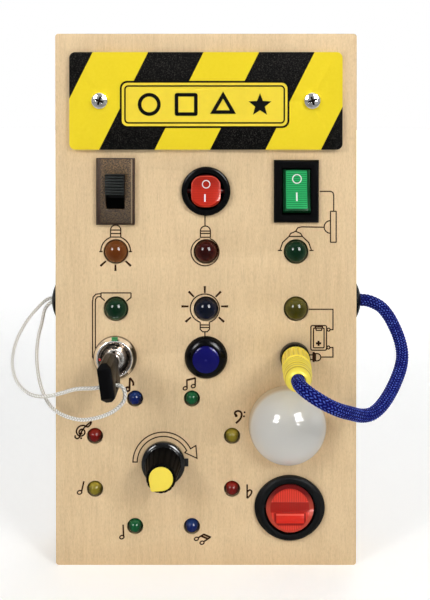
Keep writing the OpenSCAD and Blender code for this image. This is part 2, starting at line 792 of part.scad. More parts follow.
module board_spacers() color("white") on_face() board_screw_places()
    ring_of(-panel_t - board_drop, -panel_t, spacer_d, spacer_bore);

module board_screws() color(steel) on_face() board_screw_places()
    translate([0, 0, -board_depth]) rotate([180, 0, 0])
        screw(board_screw_d, board_screw_l, board_screw_head_d, board_screw_head_t);

// ---------- key lock ----------

module lock_barrel() color(steel) on_face(lock_x, lock_z) difference() {
    union() {
        rotate_extrude() polygon([[0, 0], [lock_d / 2, 0], [lock_d / 2, 0.8], [lock_d / 2 - 1.8, lock_t],
            [0, lock_t]]);
        post(-barrel_depth, 0, barrel_d);
    }
    rotate_extrude() polygon([[0, lock_t - 0.8], [lock_d / 2 - 3, lock_t - 0.8],
        [lock_d / 2 - 2.4, lock_t + small], [0, lock_t + small]]);
    post(-plug_depth, lock_t + 1, lock_plug_d + 2 * running_gap);
    post(-barrel_depth - 1, 0, tail_d + 2 * running_gap);
    translate([-1.2, lock_notch_up, 0]) block(lock_t - 2.2, lock_t + 1, 3.6, 1.8);
}

module lock_nut() color(steel) on_face(lock_x, lock_z) hex_nut(-panel_t - nut_t, nut_t, nut_d, barrel_d);

module lock_plug() color([0.6, 0.6, 0.62]) on_face(lock_x, lock_z) difference() {
    union() {
        post(running_gap - plug_depth, plug_top, lock_plug_d);
        post(-tail_depth, small - plug_depth + running_gap, tail_d);
    }
    rotate([0, 0, key_lean]) {
        ring_of(-shank_depth - guide_gap, plug_top + 1, shank_d + 2 * guide_gap, keyway_post_d);
        translate([0, shank_d / 2, 0])
            block(-lug_l - guide_gap, plug_top + 1, lug_w + 2 * guide_gap, lug_w + 2 * guide_gap);
    }
}

module lock_contact_block() color(black) on_face(lock_x, lock_z) difference() {
    post(-block_depth, -barrel_depth, block_d);
    post(-tail_depth - running_gap, 1 - barrel_depth, tail_d + 2 * running_gap);
}

module key_shank() color(steel) on_face(lock_x, lock_z) rotate([0, 0, key_lean]) {
    difference() {
        post(-shank_depth, key_out - bow_l + shank_in_bow, shank_d);
        post(-shank_depth - 1, plug_top + 1, keyway_post_d + 2 * guide_gap);
    }
    translate([0, shank_d / 2, 0]) block(-lug_l, 0, lug_w, lug_w);
}

// Outline of the bow from its side: across is its height, up is the way out of the lock
module bow_outline() {
    low = key_out - bow_l;
    half = bow_h / 2;
    translate([-bow_drop, 0]) polygon([[bow_shoulder - half, low], [half - bow_shoulder, low],
        [half, low + bow_shoulder], [half, key_out - bow_chamfer], [half - bow_chamfer, key_out],
        [bow_chamfer - half, key_out], [-half, key_out - bow_chamfer], [-half, low + bow_shoulder]]);
}

// Outline of the bow from the front
module bow_section() {
    half_t = bow_t / 2;
    half_h = bow_h / 2;
    translate([0, -bow_drop]) polygon([[bow_bevel - half_t, -half_h], [half_t - bow_bevel, -half_h],
        [half_t, bow_bevel - half_h], [half_t, half_h - bow_bevel], [half_t - bow_bevel, half_h],
        [bow_bevel - half_t, half_h], [-half_t, half_h - bow_bevel], [-half_t, bow_bevel - half_h]]);
}

module key_bow() color(black) on_face(lock_x, lock_z) rotate([0, 0, key_lean]) difference() {
    intersection() {
        rotate([90, 0, 90]) linear_extrude(bow_t, center = true) bow_outline();
        linear_extrude(key_out + 1) bow_section();
    }
    post(key_out - bow_l - 1, key_out - bow_l + shank_in_bow, shank_d);
    translate([0, -bow_hole_drop, bow_hole_out]) rotate([0, 90, 0])
        cylinder(h = bow_t + 2, d = bow_hole_d, center = true);
}

// ---------- push button ----------

module push_button_body() color(black) on_face(0, lock_z) difference() {
    union() {
        rotate_extrude() intersection() {
            translate([button_d / 2 - button_rim_t - 1, -1]) circle(r = button_rim_t + 1);
            translate([4, 0]) square([button_d, button_rim_t]);
        }
        post(-button_barrel_depth, 0, button_barrel_d);
    }
    post(-button_floor, button_rim_t + 1, cap_d + 2 * guide_gap);
    post(-cap_stem_depth - cap_travel - 1, 0, cap_stem_d + 2 * running_gap);
}

module push_button_nut() color(black) on_face(0, lock_z)
    hex_nut(-panel_t - nut_t, nut_t, nut_d, button_barrel_d);

module push_button_cap() color([0.14, 0.1, 0.5]) on_face(0, lock_z) {
    rotate_extrude() {
        translate([0, -cap_base]) square([cap_d / 2, cap_top + cap_base - 1.2]);
        intersection() {
            translate([0, cap_top - 18]) circle(r = 18, $fn = 128);
            translate([0, cap_top - 2]) square([cap_d / 2, 2]);
        }
    }
    post(-cap_stem_depth, -cap_base + small, cap_stem_d);
}

spring_low = spring_wire / 2 - button_floor;
spring_high = -cap_base - spring_wire / 2;
module push_button_spring() color(steel) on_face(0, lock_z)
    tube([for (k = [0:12 * spring_turns]) [spring_d / 2 * cos(30 * k), spring_d / 2 * sin(30 * k),
        spring_low + (spring_high - spring_low) * k / (12 * spring_turns)]], spring_wire, 6, [0, 0, 1]);

// ---------- socket, plug and cord ----------

module socket_body() color(black) on_face(socket_x, socket_z) difference() {
    union() {
        rotate_extrude() polygon([[0, 0], [socket_d / 2, 0], [socket_d / 2, socket_rim_t - 0.8],
            [socket_d / 2 - 0.8, socket_rim_t], [0, socket_rim_t]]);
        post(-socket_depth, 0, socket_barrel_d);
    }
    post(-pin_depth - 1, socket_rim_t + 1, pin_d + 2 * running_gap);
}

module socket_nut() color(steel) on_face(socket_x, socket_z)
    hex_nut(-panel_t - nut_t, nut_t, socket_nut_d, socket_barrel_d);

// The moulded shell stands a little crooked on its straight pin
module leaning() translate([0, 0, plug_base]) rotate([0, -plug_lean, 0]) translate([0, 0, -plug_base])
    children();

module plug_shell() color(yellow) on_face(socket_x, socket_z) difference() {
    leaning() difference() {
        rotate_extrude() polygon([[0, plug_base], [collar_d / 2 - 0.6, plug_base],
            [collar_d / 2, plug_base + 0.6], [collar_d / 2, collar_top - 0.8], [collar_d / 2 - 0.8, collar_top],
            [6, collar_top], [6, neck_foot], [6.3, 25.7], [6.3, 27.2], [6, 27.7], [6, 28.4], [6.3, 28.9],
            [6.3, 30.4], [6, 30.9], [6, 31.6], [6.3, 32.1], [6.3, 33.6], [6, 34.1], [6, 35], [6, 38.4],
            [5.7, 40.6], [5.1, 42.2], [4.3, 43.2], [cord_d / 2 + 0.2, plug_out - 0.2], [0, plug_out - 0.2]]);
        post(cord_seat, plug_out + 1, cord_d + 0.4);
        for (turn = [0:20:340]) rotate([0, 0, turn]) translate([collar_d / 2 + 0.25, 0, 0])
            post(plug_base + 1.2, collar_top - 1.6, 1.3);
    }
    post(plug_base - 1, pin_in_plug, pin_d);
}

module plug_pin() color(steel) on_face(socket_x, socket_z) {
    post(1 - pin_depth, pin_in_plug, pin_d);
    translate([0, 0, -pin_depth]) cylinder(h = 1, d1 = pin_d - 1.6, d2 = pin_d);
}

module blue_cord() color([0.08, 0.1, 0.6]) tube(blue_route, cord_d, 12, [0, 0, 1]);

module key_string() color([0.88, 0.87, 0.83]) tube(string_route, string_d, 8, [0, 0, 1]);

module grommet(hole_h, hole_w) rotate([0, 90, 0]) difference() {
    union() {
        rotate_extrude() intersection() {
            translate([0, grommet_top - grommet_dome_r]) circle(r = grommet_dome_r);
            square([grommet_d / 2, grommet_top]);
        }
        post(-grommet_depth, 0, side_hole_d);
        post(-rail_t - grommet_lip, -rail_t, side_hole_d + 2.4);
    }
    translate([0, 0, -grommet_depth - 1]) linear_extrude(grommet_depth + grommet_top + 2)
        rounded(hole_h, hole_w, hole_w / 2 - small);
}

module side_grommets() color(black) {
    translate([board_w / 2, face_y + side_back, side_z])
        grommet(cord_d + 2 * guide_gap, cord_d + 2 * guide_gap);
    translate([-board_w / 2, face_y + side_back, side_z]) mirror([1, 0, 0])
        grommet(string_gap + string_d + 2 * guide_gap, string_d + 2 * guide_gap);
}

// ---------- knob ----------

module knob() color(black) on_face(knob_x, knob_z) difference() {
    rotate_extrude() polygon([[0, skirt_base], [skirt_d / 2, skirt_base], [skirt_d / 2, skirt_t - 0.6],
        [skirt_d / 2 - 0.6, skirt_t], [knob_base_d / 2, skirt_t + 0.4], [knob_head_d / 2, knob_top - 0.5],
        [knob_head_d / 2 - 0.5, knob_top], [0, knob_top]]);
    post(skirt_base - 1, 5, pot_nut_d + 1.4);
    post(skirt_base - 1, shaft_top, shaft_d);
    for (turn = [0:360 / knob_flutes:359]) rotate([0, 0, turn])
        translate([knob_base_d / 2 + 0.35, 0, skirt_t + 1]) rotate([0, -knob_lean, 0]) post(0, 30, flute_d);
    translate([0, 0, knob_top - knob_cap_t]) linear_extrude(knob_cap_t + 1) cap_outline();
}

// A disc with a pointer on one side
module cap_outline() rotate([0, 0, 90 - pointer_angle]) {
    circle(d = knob_cap_d);
    polygon([for (a = [-50, 50]) knob_cap_d / 2 * [cos(a), sin(a)], [-1, 0]]);
    polygon([knob_cap_d / 2 * [cos(50), sin(50)], knob_cap_d / 2 * [cos(50), -sin(50)],
        [knob_head_d / 2 + 0.2, -0.5], [knob_head_d / 2 + 0.2, 0.5]]);
}

module knob_cap() color(yellow) on_face(knob_x, knob_z)
    translate([0, 0, knob_top - knob_cap_t]) linear_extrude(knob_cap_t + 0.4) cap_outline();

module knob_shaft() color(steel) on_face(knob_x, knob_z) post(-pot_depth + shaft_foot, shaft_top, shaft_d);

module potentiometer() color([0.3, 0.3, 0.3]) on_face(knob_x, knob_z) difference() {
    union() {
        post(-pot_depth, -panel_t, pot_d);
        post(-panel_t, bushing_top, bushing_d);
        translate([pot_lug_x, 0, 0]) block(-panel_t, 0.4, pot_lug_w, pot_lug_h);
        translate([0, -pot_lug_h / 2, -panel_t - 1.2]) cube([pot_lug_x + pot_lug_w / 2, pot_lug_h, 1.2]);
        for (x = [-5, 0, 5]) translate([x, -pot_d / 2, 0]) block(-pot_depth + 1, -pot_depth + 2, 1.4, 10);
    }
    post(-pot_depth + shaft_foot - running_gap, bushing_top + 1, shaft_d + 2 * running_gap);
}

module potentiometer_nut() color(steel) on_face(knob_x, knob_z) hex_nut(0, pot_nut_t, pot_nut_d, bushing_d);

// ---------- lamp ----------

module lamp_dome() color([0.85, 0.84, 0.82]) on_face(lamp_x, lamp_z) difference() {
    union() {
        post(0, lamp_rise, lamp_d);
        intersection() {
            translate([0, 0, lamp_rise]) sphere(d = lamp_d);
            post(0, lamp_d, lamp_d + 2);
        }
        post(-lamp_neck_depth, small, lamp_neck_d);
    }
    intersection() {
        translate([0, 0, lamp_rise]) sphere(d = lamp_d - 2 * lamp_wall);
        post(lamp_wall, lamp_d, lamp_d);
    }
    post(-lamp_neck_depth - 1, lamp_wall + 1, lamp_neck_d - 2 * lamp_wall);
}

// Cap behind the panel that clamps the dome's neck and carries its light
module lamp_holder() color("white") on_face(lamp_x, lamp_z) {
    ring_of(-lamp_neck_depth, -panel_t, lamp_holder_d, lamp_neck_d);
    post(-lamp_neck_depth - lamp_floor_t, -lamp_neck_depth, lamp_holder_d);
    block(-lamp_neck_depth - small, 2 - lamp_neck_depth, 5, 5);
}

front_panel();
left_rail();
right_rail();
top_rail();
bottom_rail();
back_panel();
battery_door();
back_screws();
battery_holder();
batteries();
sign_plate();
sign_screws();
slide_switch_bezel();
slide_switch_case();
slide_switch_slider();
round_rocker_body();
round_rocker_paddle();
rect_rocker_body();
rect_rocker_paddle();
rect_rocker_lens();
big_rocker_body();
big_rocker_paddle();
switch_terminals();
orange_light();
red_light();
green_lights();
blue_light();
olive_light();
small_green_lights();
small_red_lights();
small_blue_lights();
small_olive_lights();
light_board();
ring_board();
board_spacers();
board_screws();
lock_barrel();
lock_nut();
lock_plug();
lock_contact_block();
key_shank();
key_bow();
push_button_body();
push_button_nut();
push_button_cap();
push_button_spring();
socket_body();
socket_nut();
plug_shell();
plug_pin();
blue_cord();
key_string();
side_grommets();
knob();
knob_cap();
knob_shaft();
potentiometer();
potentiometer_nut();
lamp_dome();
lamp_holder();
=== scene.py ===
"""Wooden busy board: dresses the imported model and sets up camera, light and floor, in the CAD frame."""
import json
import random
from math import atan, cos, floor, hypot, pi, radians, sin, tan

import bmesh
import bpy
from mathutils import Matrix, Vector


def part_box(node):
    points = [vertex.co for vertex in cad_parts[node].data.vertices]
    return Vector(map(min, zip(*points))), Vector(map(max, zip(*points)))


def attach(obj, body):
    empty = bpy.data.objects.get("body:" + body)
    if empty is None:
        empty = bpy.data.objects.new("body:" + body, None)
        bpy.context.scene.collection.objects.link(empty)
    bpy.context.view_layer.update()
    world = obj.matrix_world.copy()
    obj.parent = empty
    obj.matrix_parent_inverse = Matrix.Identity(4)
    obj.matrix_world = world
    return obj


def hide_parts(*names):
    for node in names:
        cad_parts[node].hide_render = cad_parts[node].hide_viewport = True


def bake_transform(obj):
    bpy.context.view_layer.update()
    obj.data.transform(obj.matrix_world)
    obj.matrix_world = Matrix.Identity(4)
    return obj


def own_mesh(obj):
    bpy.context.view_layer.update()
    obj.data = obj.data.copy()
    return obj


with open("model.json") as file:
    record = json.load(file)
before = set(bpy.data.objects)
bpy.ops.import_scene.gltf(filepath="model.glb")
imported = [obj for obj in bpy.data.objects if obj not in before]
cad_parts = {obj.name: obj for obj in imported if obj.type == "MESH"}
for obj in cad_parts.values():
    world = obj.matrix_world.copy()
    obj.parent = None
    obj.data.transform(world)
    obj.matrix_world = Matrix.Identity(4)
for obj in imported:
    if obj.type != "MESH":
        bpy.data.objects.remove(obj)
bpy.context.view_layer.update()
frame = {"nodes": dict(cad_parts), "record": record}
NODES = frame["nodes"]
MM = 0.001
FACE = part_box("front_panel")[0].y


def centre_of(node):
    """The middle of a node's box, as (x, z) in mm."""
    low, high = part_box(node)
    return (low.x + high.x) / 2 / MM, (low.z + high.z) / 2 / MM


def half_size(node):
    """Half a node's width and half its height, in mm."""
    low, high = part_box(node)
    return (high.x - low.x) / 2 / MM, (high.z - low.z) / 2 / MM


def top_of(node):
    """How far a node reaches in front of the face, in mm."""
    return (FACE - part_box(node)[0].y) / MM


def add_object(name, data):
    obj = bpy.data.objects.new(name, data)
    bpy.context.scene.collection.objects.link(obj)
    return obj


# ---- camera
# In pixels at the board's face: the view's height and middle, and the board's middle line and foot
VIEW_H_PX, VIEW_MID_PX, VIEW_MID_PY = 600, 215.0, 300.0
MID_PX, FOOT_PY = 206.0, 566.0
# A pixel, and where the camera stands, in mm
PX, CAM_DISTANCE, CAM_RISE, CAM_SIDE = 0.4699, 460, 83, 5
CAM_TILT = radians(0.5)
SENSOR = 36.0


def at_px(px, py):
    """A place on the board's face, as (x, z) in mm."""
    return (px - MID_PX) * PX, (FOOT_PY - py) * PX


def add_camera():
    """Stands above the view's middle and looks almost level; the shift brings the board into the frame."""
    view_h, view_mid = VIEW_H_PX * PX, (FOOT_PY - VIEW_MID_PY) * PX
    off_axis = atan(CAM_RISE / CAM_DISTANCE) - CAM_TILT
    along_axis = hypot(CAM_RISE, CAM_DISTANCE) * cos(off_axis)
    data = bpy.data.cameras.new("camera")
    data.sensor_width = SENSOR
    data.lens = SENSOR * along_axis / view_h
    data.shift_x = ((VIEW_MID_PX - MID_PX) * PX - CAM_SIDE) / view_h
    data.shift_y = -tan(off_axis) * data.lens / SENSOR
    data.clip_start, data.clip_end = 0.01, 50
    camera = add_object("camera", data)
    camera.location = (CAM_SIDE * MM, FACE - CAM_DISTANCE * MM, (view_mid + CAM_RISE) * MM)
    camera.rotation_euler = (radians(90) - CAM_TILT, 0, 0)
    bpy.context.scene.camera = camera


add_camera()


# ---- mesh helpers
def new_object(name, verts, faces, material, smooth=True):
    mesh = bpy.data.meshes.new(name)
    mesh.from_pydata(verts, [], faces)
    mesh.validate()
    bm = bmesh.new()
    bm.from_mesh(mesh)
    bmesh.ops.recalc_face_normals(bm, faces=bm.faces)
    bm.to_mesh(mesh)
    bm.free()
    mesh.polygons.foreach_set("use_smooth", [smooth] * len(mesh.polygons))
    mesh.materials.append(material)
    return add_object(name, mesh)


def paint(obj, layer, values):
    """Keeps a (red, green) pair for each point in a colour attribute."""
    colours = obj.data.color_attributes.new(layer, "FLOAT_COLOR", "POINT")
    colours.data.foreach_set("color", [c for red, green in values for c in (red, green, 0.0, 1.0)])


def ring_faces(rings, sides, closed=False):
    """Joins rings of points into a tube. An open tube gets its two end faces."""
    faces = []
    for i in range(rings if closed else rings - 1):
        a, b = i * sides, (i + 1) % rings * sides
        for k in range(sides):
            n = (k + 1) % sides
            faces.append((a + k, a + n, b + n, b + k))
    if not closed:
        faces += [tuple(range(sides - 1, -1, -1)), tuple(range((rings - 1) * sides, rings * sides))]
    return faces


class Shape:
    """Collects closed shapes into one mesh. It takes mm, and heights are forwards from the board's face."""

    def __init__(self, back=None, front=None):
        """back and front give the height of each side of a flat shape at (x, z)."""
        self.back, self.front = back, front
        self.verts, self.faces = [], []

    def add(self, verts, faces):
        """Takes points as (x, height, z)."""
        base = len(self.verts)
        self.verts += [(x * MM, FACE - height * MM, z * MM) for x, height, z in verts]
        self.faces += [tuple(base + i for i in face) for face in faces]

    def lathe(self, centre, profile, segs):
        """Turns (radius, height) points about the line through centre = (x, z). A radius of 0 is a tip."""
        cx, cz = centre
        verts, faces, rings = [], [], []
        for r, height in profile:
            turns = [2 * pi * k / segs for k in range(segs if r > 1e-7 else 1)]
            rings.append([len(verts) + k for k in range(len(turns))])
            verts += [(cx + r * cos(t), height, cz + r * sin(t)) for t in turns]
        for a, b in zip(rings, rings[1:]):
            for k in range(segs):
                n = (k + 1) % segs
                corners = (a[k % len(a)], b[k % len(b)], b[n % len(b)], a[n % len(a)])
                faces.append(tuple(dict.fromkeys(corners)))
        self.add(verts, faces)

    def ribbon(self, pts, widths, closed=False):
        """A line along (x, z) points; widths is one width, or one for each point."""
        if not isinstance(widths, list):
            widths = [widths] * len(pts)
        around = [pts[-1], *pts, pts[0]] if closed else [pts[0], *pts, pts[-1]]
        verts = []
        for before, (x, z), after, width in zip(around, pts, around[2:], widths):
            to_here = Vector((x - before[0], z - before[1])).normalized()
            to_next = Vector((after[0] - x, after[1] - z)).normalized()
            along = (to_here + to_next).normalized()
            # A bend is mitred, up to twice the width, and an end is square
            half = width / 2 * min(1 / max(along.dot(to_here), along.dot(to_next), 0.3), 2.0)
            left = (x - along.y * half, z + along.x * half)
            right = (x + along.y * half, z - along.x * half)
            verts += [(px, height(px, pz), pz) for height, (px, pz) in
                      ((self.front, left), (self.front, right), (self.back, right), (self.back, left))]
        self.add(verts, ring_faces(len(pts), 4, closed))

    def fill(self, pts):
        """A filled outline of (x, z) points."""
        verts = [(x, height(x, z), z) for height in (self.front, self.back) for x, z in pts]
        self.add(verts, ring_faces(2, len(pts)))

    def make(self, name, material, body, slot, smooth=False):
        obj = new_object(name, self.verts, self.faces, material, smooth)
        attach(obj, body)
        return obj


def level(height):
    return lambda x, z: height


def arc(cx, cy, r, start, end, n=20):
    angles = [radians(start + (end - start) * k / n) for k in range(n + 1)]
    return [(cx + r * cos(t), cy + r * sin(t)) for t in angles]


def ellipse(cx, cz, rx, rz, n, turn=0.0):
    c, s = cos(turn), sin(turn)
    local = [(rx * cos(t), rz * sin(t)) for t in (2 * pi * k / n for k in range(n))]
    return [(cx + x * c - z * s, cz + x * s + z * c) for x, z in local]


def rounded_rect(cx, cy, w, h, r, n):
    corners = ((1, 1, 0), (-1, 1, 90), (-1, -1, 180), (1, -1, 270))
    return [p for sx, sy, a in corners
            for p in arc(cx + sx * (w / 2 - r), cy + sy * (h / 2 - r), r, a, a + 90, n)]


def spokes(cx, cz, radii):
    """Corners at even turns from the top, each at its own distance from the middle."""
    turn = 2 * pi / len(radii)
    return [(cx + r * sin(k * turn), cz + r * cos(k * turn)) for k, r in enumerate(radii)]


def path_length(path):
    return sum((b - a).length for a, b in zip(path, path[1:]))


def smooth_path(points, step):
    """Points about step apart on a Catmull-Rom curve through the given ones, and its length."""
    pts = [Vector(p) for p in points]
    pts = [2 * pts[0] - pts[1]] + pts + [2 * pts[-1] - pts[-2]]
    dense, parts = [], 12
    for i in range(1, len(pts) - 2):
        p0, p1, p2, p3 = pts[i - 1:i + 3]
        for t in (k / parts for k in range(parts)):
            dense.append(0.5 * ((2 * p1) + (p2 - p0) * t + (2 * p0 - 5 * p1 + 4 * p2 - p3) * t * t
                                + (3 * p1 - p0 - 3 * p2 + p3) * t ** 3))
    dense.append(pts[-2])
    lengths = [0.0]
    for a, b in zip(dense, dense[1:]):
        lengths.append(lengths[-1] + (b - a).length)
    total = lengths[-1]
    count = round(total / step)
    out, j = [], 0
    for s in (total * k / count for k in range(count + 1)):
        while j < len(dense) - 2 and lengths[j + 1] < s:
            j += 1
        part = (s - lengths[j]) / (lengths[j + 1] - lengths[j])
        out.append(dense[j].lerp(dense[j + 1], part))
    return out, total


def stitch(u, v, strands, seed):
    """How high a place on the braid stands, and a steady random shade for its stitch.

    Each strand lies over two others, then under two."""
    turn = (floor(u) + floor(v)) % 4
    across, along = (u % 1, v % 1) if turn < 2 else (v % 1, u % 1)
    bump = sin(pi * across) * sin(pi * (turn % 2 + along) / 2) ** 0.7
    cell = floor(u) % strands * 7919 + floor(v) // 2 * 104729 + seed
    return bump, random.Random(cell).random()


def braided_tube(name, path, diameter, material, braid, start=0.0):
    """A braid along path, as relief, with each stitch's height and shade in an attribute."""
    sides, strands, pitch, relief, seed = braid
    normal = Vector((0, 0, 1))
    verts, shades = [], []
    s, last = start, len(path) - 1
    for i, p in enumerate(path):
        tangent = (path[min(i + 1, last)] - path[max(i - 1, 0)]).normalized()
        normal = (normal - tangent * normal.dot(tangent)).normalized()
        side = tangent.cross(normal)
        if i:
            s += (p - path[i - 1]).length
        for a in (k / sides for k in range(sides)):
            bump, over = stitch(strands * a + s / pitch, strands * a - s / pitch, strands, seed)
            r = diameter / 2 * (1 - relief + relief * bump ** 0.6)
            t = 2 * pi * a
            verts.append(p + r * (cos(t) * normal + sin(t) * side))
            shades.append((bump ** 0.5, over))
    obj = new_object(name, verts, ring_faces(len(path), sides), material)
    paint(obj, "braid", shades)
    return obj


# ---- node helpers
def feed(socket, value):
    """Links an output to a socket, or sets it to a number, a vector or a colour."""
    if isinstance(value, Value):
        value.tree.links.new(value.socket, socket)
    else:
        socket.default_value = (*value, 1) if socket.type == "RGBA" else value


def add_node(tree, kind, inputs=(), **settings):
    """A new node; inputs has what feeds each socket."""
    node = tree.nodes.new("ShaderNode" + kind)
    for key, value in settings.items():
        setattr(node, key, value)
    for key, value in dict(inputs).items():
        feed(node.inputs[key], value)
    return node


def calc(kind, *values):
    """A math node on numbers and outputs."""
    tree = next(v.tree for v in values if isinstance(v, Value))
    return Value(add_node(tree, "Math", enumerate(values), operation=kind))


def operator(kind):
    """The method behind a sign such as +."""
    return lambda *values: calc(kind, *values)


def mix(factor, a, b):
    """Colour a where the factor is 0, colour b where it is 1."""
    node = add_node(factor.tree, "Mix", {0: factor, 6: a, 7: b}, data_type="RGBA", clamp_factor=True)
    return Value(node, 2)


def axes(vector):
    """A vector's x, y and z."""
    node = add_node(vector.tree, "SeparateXYZ", {"Vector": vector})
    return [Value(node, axis) for axis in "XYZ"]


def away(across, up):
    """Distance from the middle, where both are 0."""
    return calc("SQRT", across * across + up * up)


class Value:
    """A node's output, which can be calculated with."""

    def __init__(self, node, output=0):
        self.tree, self.socket = node.id_data, node.outputs[output]

    __add__, __sub__, __mul__ = operator("ADD"), operator("SUBTRACT"), operator("MULTIPLY")
    __truediv__, __pow__, __abs__ = operator("DIVIDE"), operator("POWER"), operator("ABSOLUTE")

    def __rsub__(self, other):
        return calc("SUBTRACT", other, self)

    def span(self, low, high, to_low=0.0, to_high=1.0):
        """Goes from to_low at low to to_high at high, and no further."""
        inputs = {"Value": self, "From Min": low, "From Max": high, "To Min": to_low, "To Max": to_high}
        return Value(add_node(self.tree, "MapRange", inputs))

    def within(self, low, high, soft=0.1):
        """1 between low and high, 0 outside."""
        return self.span(low - soft, low + soft) * self.span(high + soft, high - soft)


class Look:
    """A node material on one Principled BSDF, built up from layers of colour."""

    def __init__(self, name, colour, rough, specular=0.5, **sockets):
        self.mat = bpy.data.materials.new(name)
        self.mat.use_nodes = True
        self.tree = self.mat.node_tree
        self.bsdf = self.tree.nodes["Principled BSDF"]
        self.coords = Value(add_node(self.tree, "TexCoord"), "Object")
        self.base = colour
        self.set(Roughness=rough, Specular_IOR_Level=specular, **sockets)

    def set(self, **sockets):
        for key, value in sockets.items():
            feed(self.bsdf.inputs[key.replace("_", " ")], value)

    def noise(self, scale, detail=2.0, rough=0.55, stretch=(1, 1, 1), distort=0.0):
        place = add_node(self.tree, "Mapping", {"Vector": self.coords, "Scale": stretch})
        inputs = {"Vector": Value(place), "Scale": scale, "Detail": detail, "Roughness": rough,
                  "Distortion": distort}
        return Value(add_node(self.tree, "TexNoise", inputs), "Fac")

    def measure(self, centre=(0, 0)):
        """In mm: how far right of centre = (x, z), in front of the face, and above centre."""
        x, y, z = axes(self.coords)
        return x / MM - centre[0], (FACE - y) / MM, z / MM - centre[1]

    def facing(self):
        """The way the surface faces, as x, y and z."""
        return axes(Value(add_node(self.tree, "NewGeometry"), "Normal"))

    def painted(self, layer):
        """The two values of a colour attribute."""
        colour = Value(add_node(self.tree, "VertexColor", layer_name=layer), "Color")
        node = add_node(self.tree, "SeparateColor", {"Color": colour})
        return Value(node, "Red"), Value(node, "Green")

    def cover(self, factor, colour):
        """Lays a colour over the ones before, where the factor is 1."""
        self.base = mix(factor, self.base, colour)

    def finish(self, height, relief, strength=1.0):
        """Puts the colour and a bump of so many mm on the shader, and gives the material."""
        bump = add_node(self.tree, "Bump", {"Height": height, "Distance": relief * MM, "Strength": strength})
        self.set(Base_Color=self.base, Normal=Value(bump, "Normal"))
        return self.mat


# ---- materials
def srgb(r, g, b):
    """Linear colour from 0 to 255 screen values."""
    return tuple(((v / 255 + 0.055) / 1.055) ** 2.4 if v > 10 else v / 255 / 12.92 for v in (r, g, b))


def shade(colour, k):
    return tuple(min(1.0, c * k) for c in colour)


def plastic(name, colour, rough, grain=2500, relief=0.02, vary=0.12, specular=0.5, ior=1.5):
    """Moulded plastic: faint clouding, a grain relief mm high, and slightly uneven gloss."""
    look = Look(name, shade(colour, 1 - vary), rough, specular, IOR=ior)
    look.cover(look.noise(260, 3), shade(colour, 1 + vary))
    look.set(Roughness=look.noise(900).span(0.3, 0.7, rough * 0.85, min(1.0, rough * 1.2)))
    return look.finish(look.noise(grain), relief)


def metal(name, colour, rough, brushed=(1, 1, 1), relief=0.004):
    """Metal with a streaky gloss; brushed stretches the streaks."""
    look = Look(name, shade(colour, 0.86), rough, Metallic=1.0)
    streak = look.noise(1800, 3, stretch=brushed)
    look.cover(streak, shade(colour, 1.08))
    look.set(Roughness=streak.span(0.3, 0.7, rough * 0.7, rough * 1.4))
    return look.finish(look.noise(3000, stretch=brushed), relief)


PLY = 1.3 * MM


def wood_look(light, dark):
    """Pale veneer with upright grain, and ply lines on cut edges."""
    look = Look("plywood", light, 0.5, 0.25)
    grain = look.noise(620, 4, 0.6, (1, 1, 0.075), 0.4)
    fibre = look.noise(3200, 2, 0.7, (1, 1, 0.06))
    cloud = look.noise(42, 3, stretch=(1, 1, 0.45))
    flecks = look.noise(1000, 2, 0.5, (1, 1, 0.1))
    pores = look.noise(1900, 3, 0.7, (1, 1, 0.3))
    look.cover(grain.span(0.25, 0.8), dark)
    look.cover(fibre.span(0.45, 0.75) * 0.3, shade(dark, 0.82))
    look.cover(cloud.span(0.38, 0.66) * 0.45, shade(light, 1.08))
    look.cover(flecks.span(0.55, 0.7) * 0.3, shade(dark, 0.8))
    look.cover(pores.span(0.52, 0.68) * 0.4, shade(dark, 0.78))
    look.cover(pores.span(0.48, 0.32) * 0.4, shade(light, 1.14))
    layers = calc("MODULO", abs(axes(look.coords)[1] / PLY), 2.0)
    end_grain = mix(abs(layers - 1.0).span(0.4, 0.6), shade(dark, 0.72), shade(light, 0.95))
    look.cover(abs(look.facing()[1]).span(0.6, 0.4) * 0.8, end_grain)
    look.set(Roughness=grain.span(0.3, 0.7, 0.42, 0.58))
    return look.finish(grain + fibre * 0.5, 0.03, 0.7)


# The black stripes in mm: their lean, and their period and start along the sign's top
STRIPE_LEAN, STRIPE_PERIOD, STRIPE_START = 0.503, 51.7, -26.9


def sign_look():
    """Leaning stripes of smooth yellow and speckled black."""
    look = Look("sign", srgb(236, 210, 38), 0.4, 0.03)
    x, _, from_top = look.measure((0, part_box("sign_plate")[1].z / MM))
    from_start = x - from_top * STRIPE_LEAN - (STRIPE_START - 4 * STRIPE_PERIOD)
    in_black = calc("FRACT", from_start / STRIPE_PERIOD).span(0.4985, 0.5015, 1.0, 0.0)
    speckle = look.noise(1900, 3, 0.75)
    look.cover(look.noise(700, 3), srgb(243, 218, 52))
    look.cover(in_black, mix(speckle.span(0.52, 0.66), srgb(1, 1, 1), srgb(50, 48, 44)))
    look.set(Roughness=in_black.span(0, 1, 0.42, 0.6))
    return look.finish(speckle + look.noise(1300) * 0.6, 0.06, 0.8)


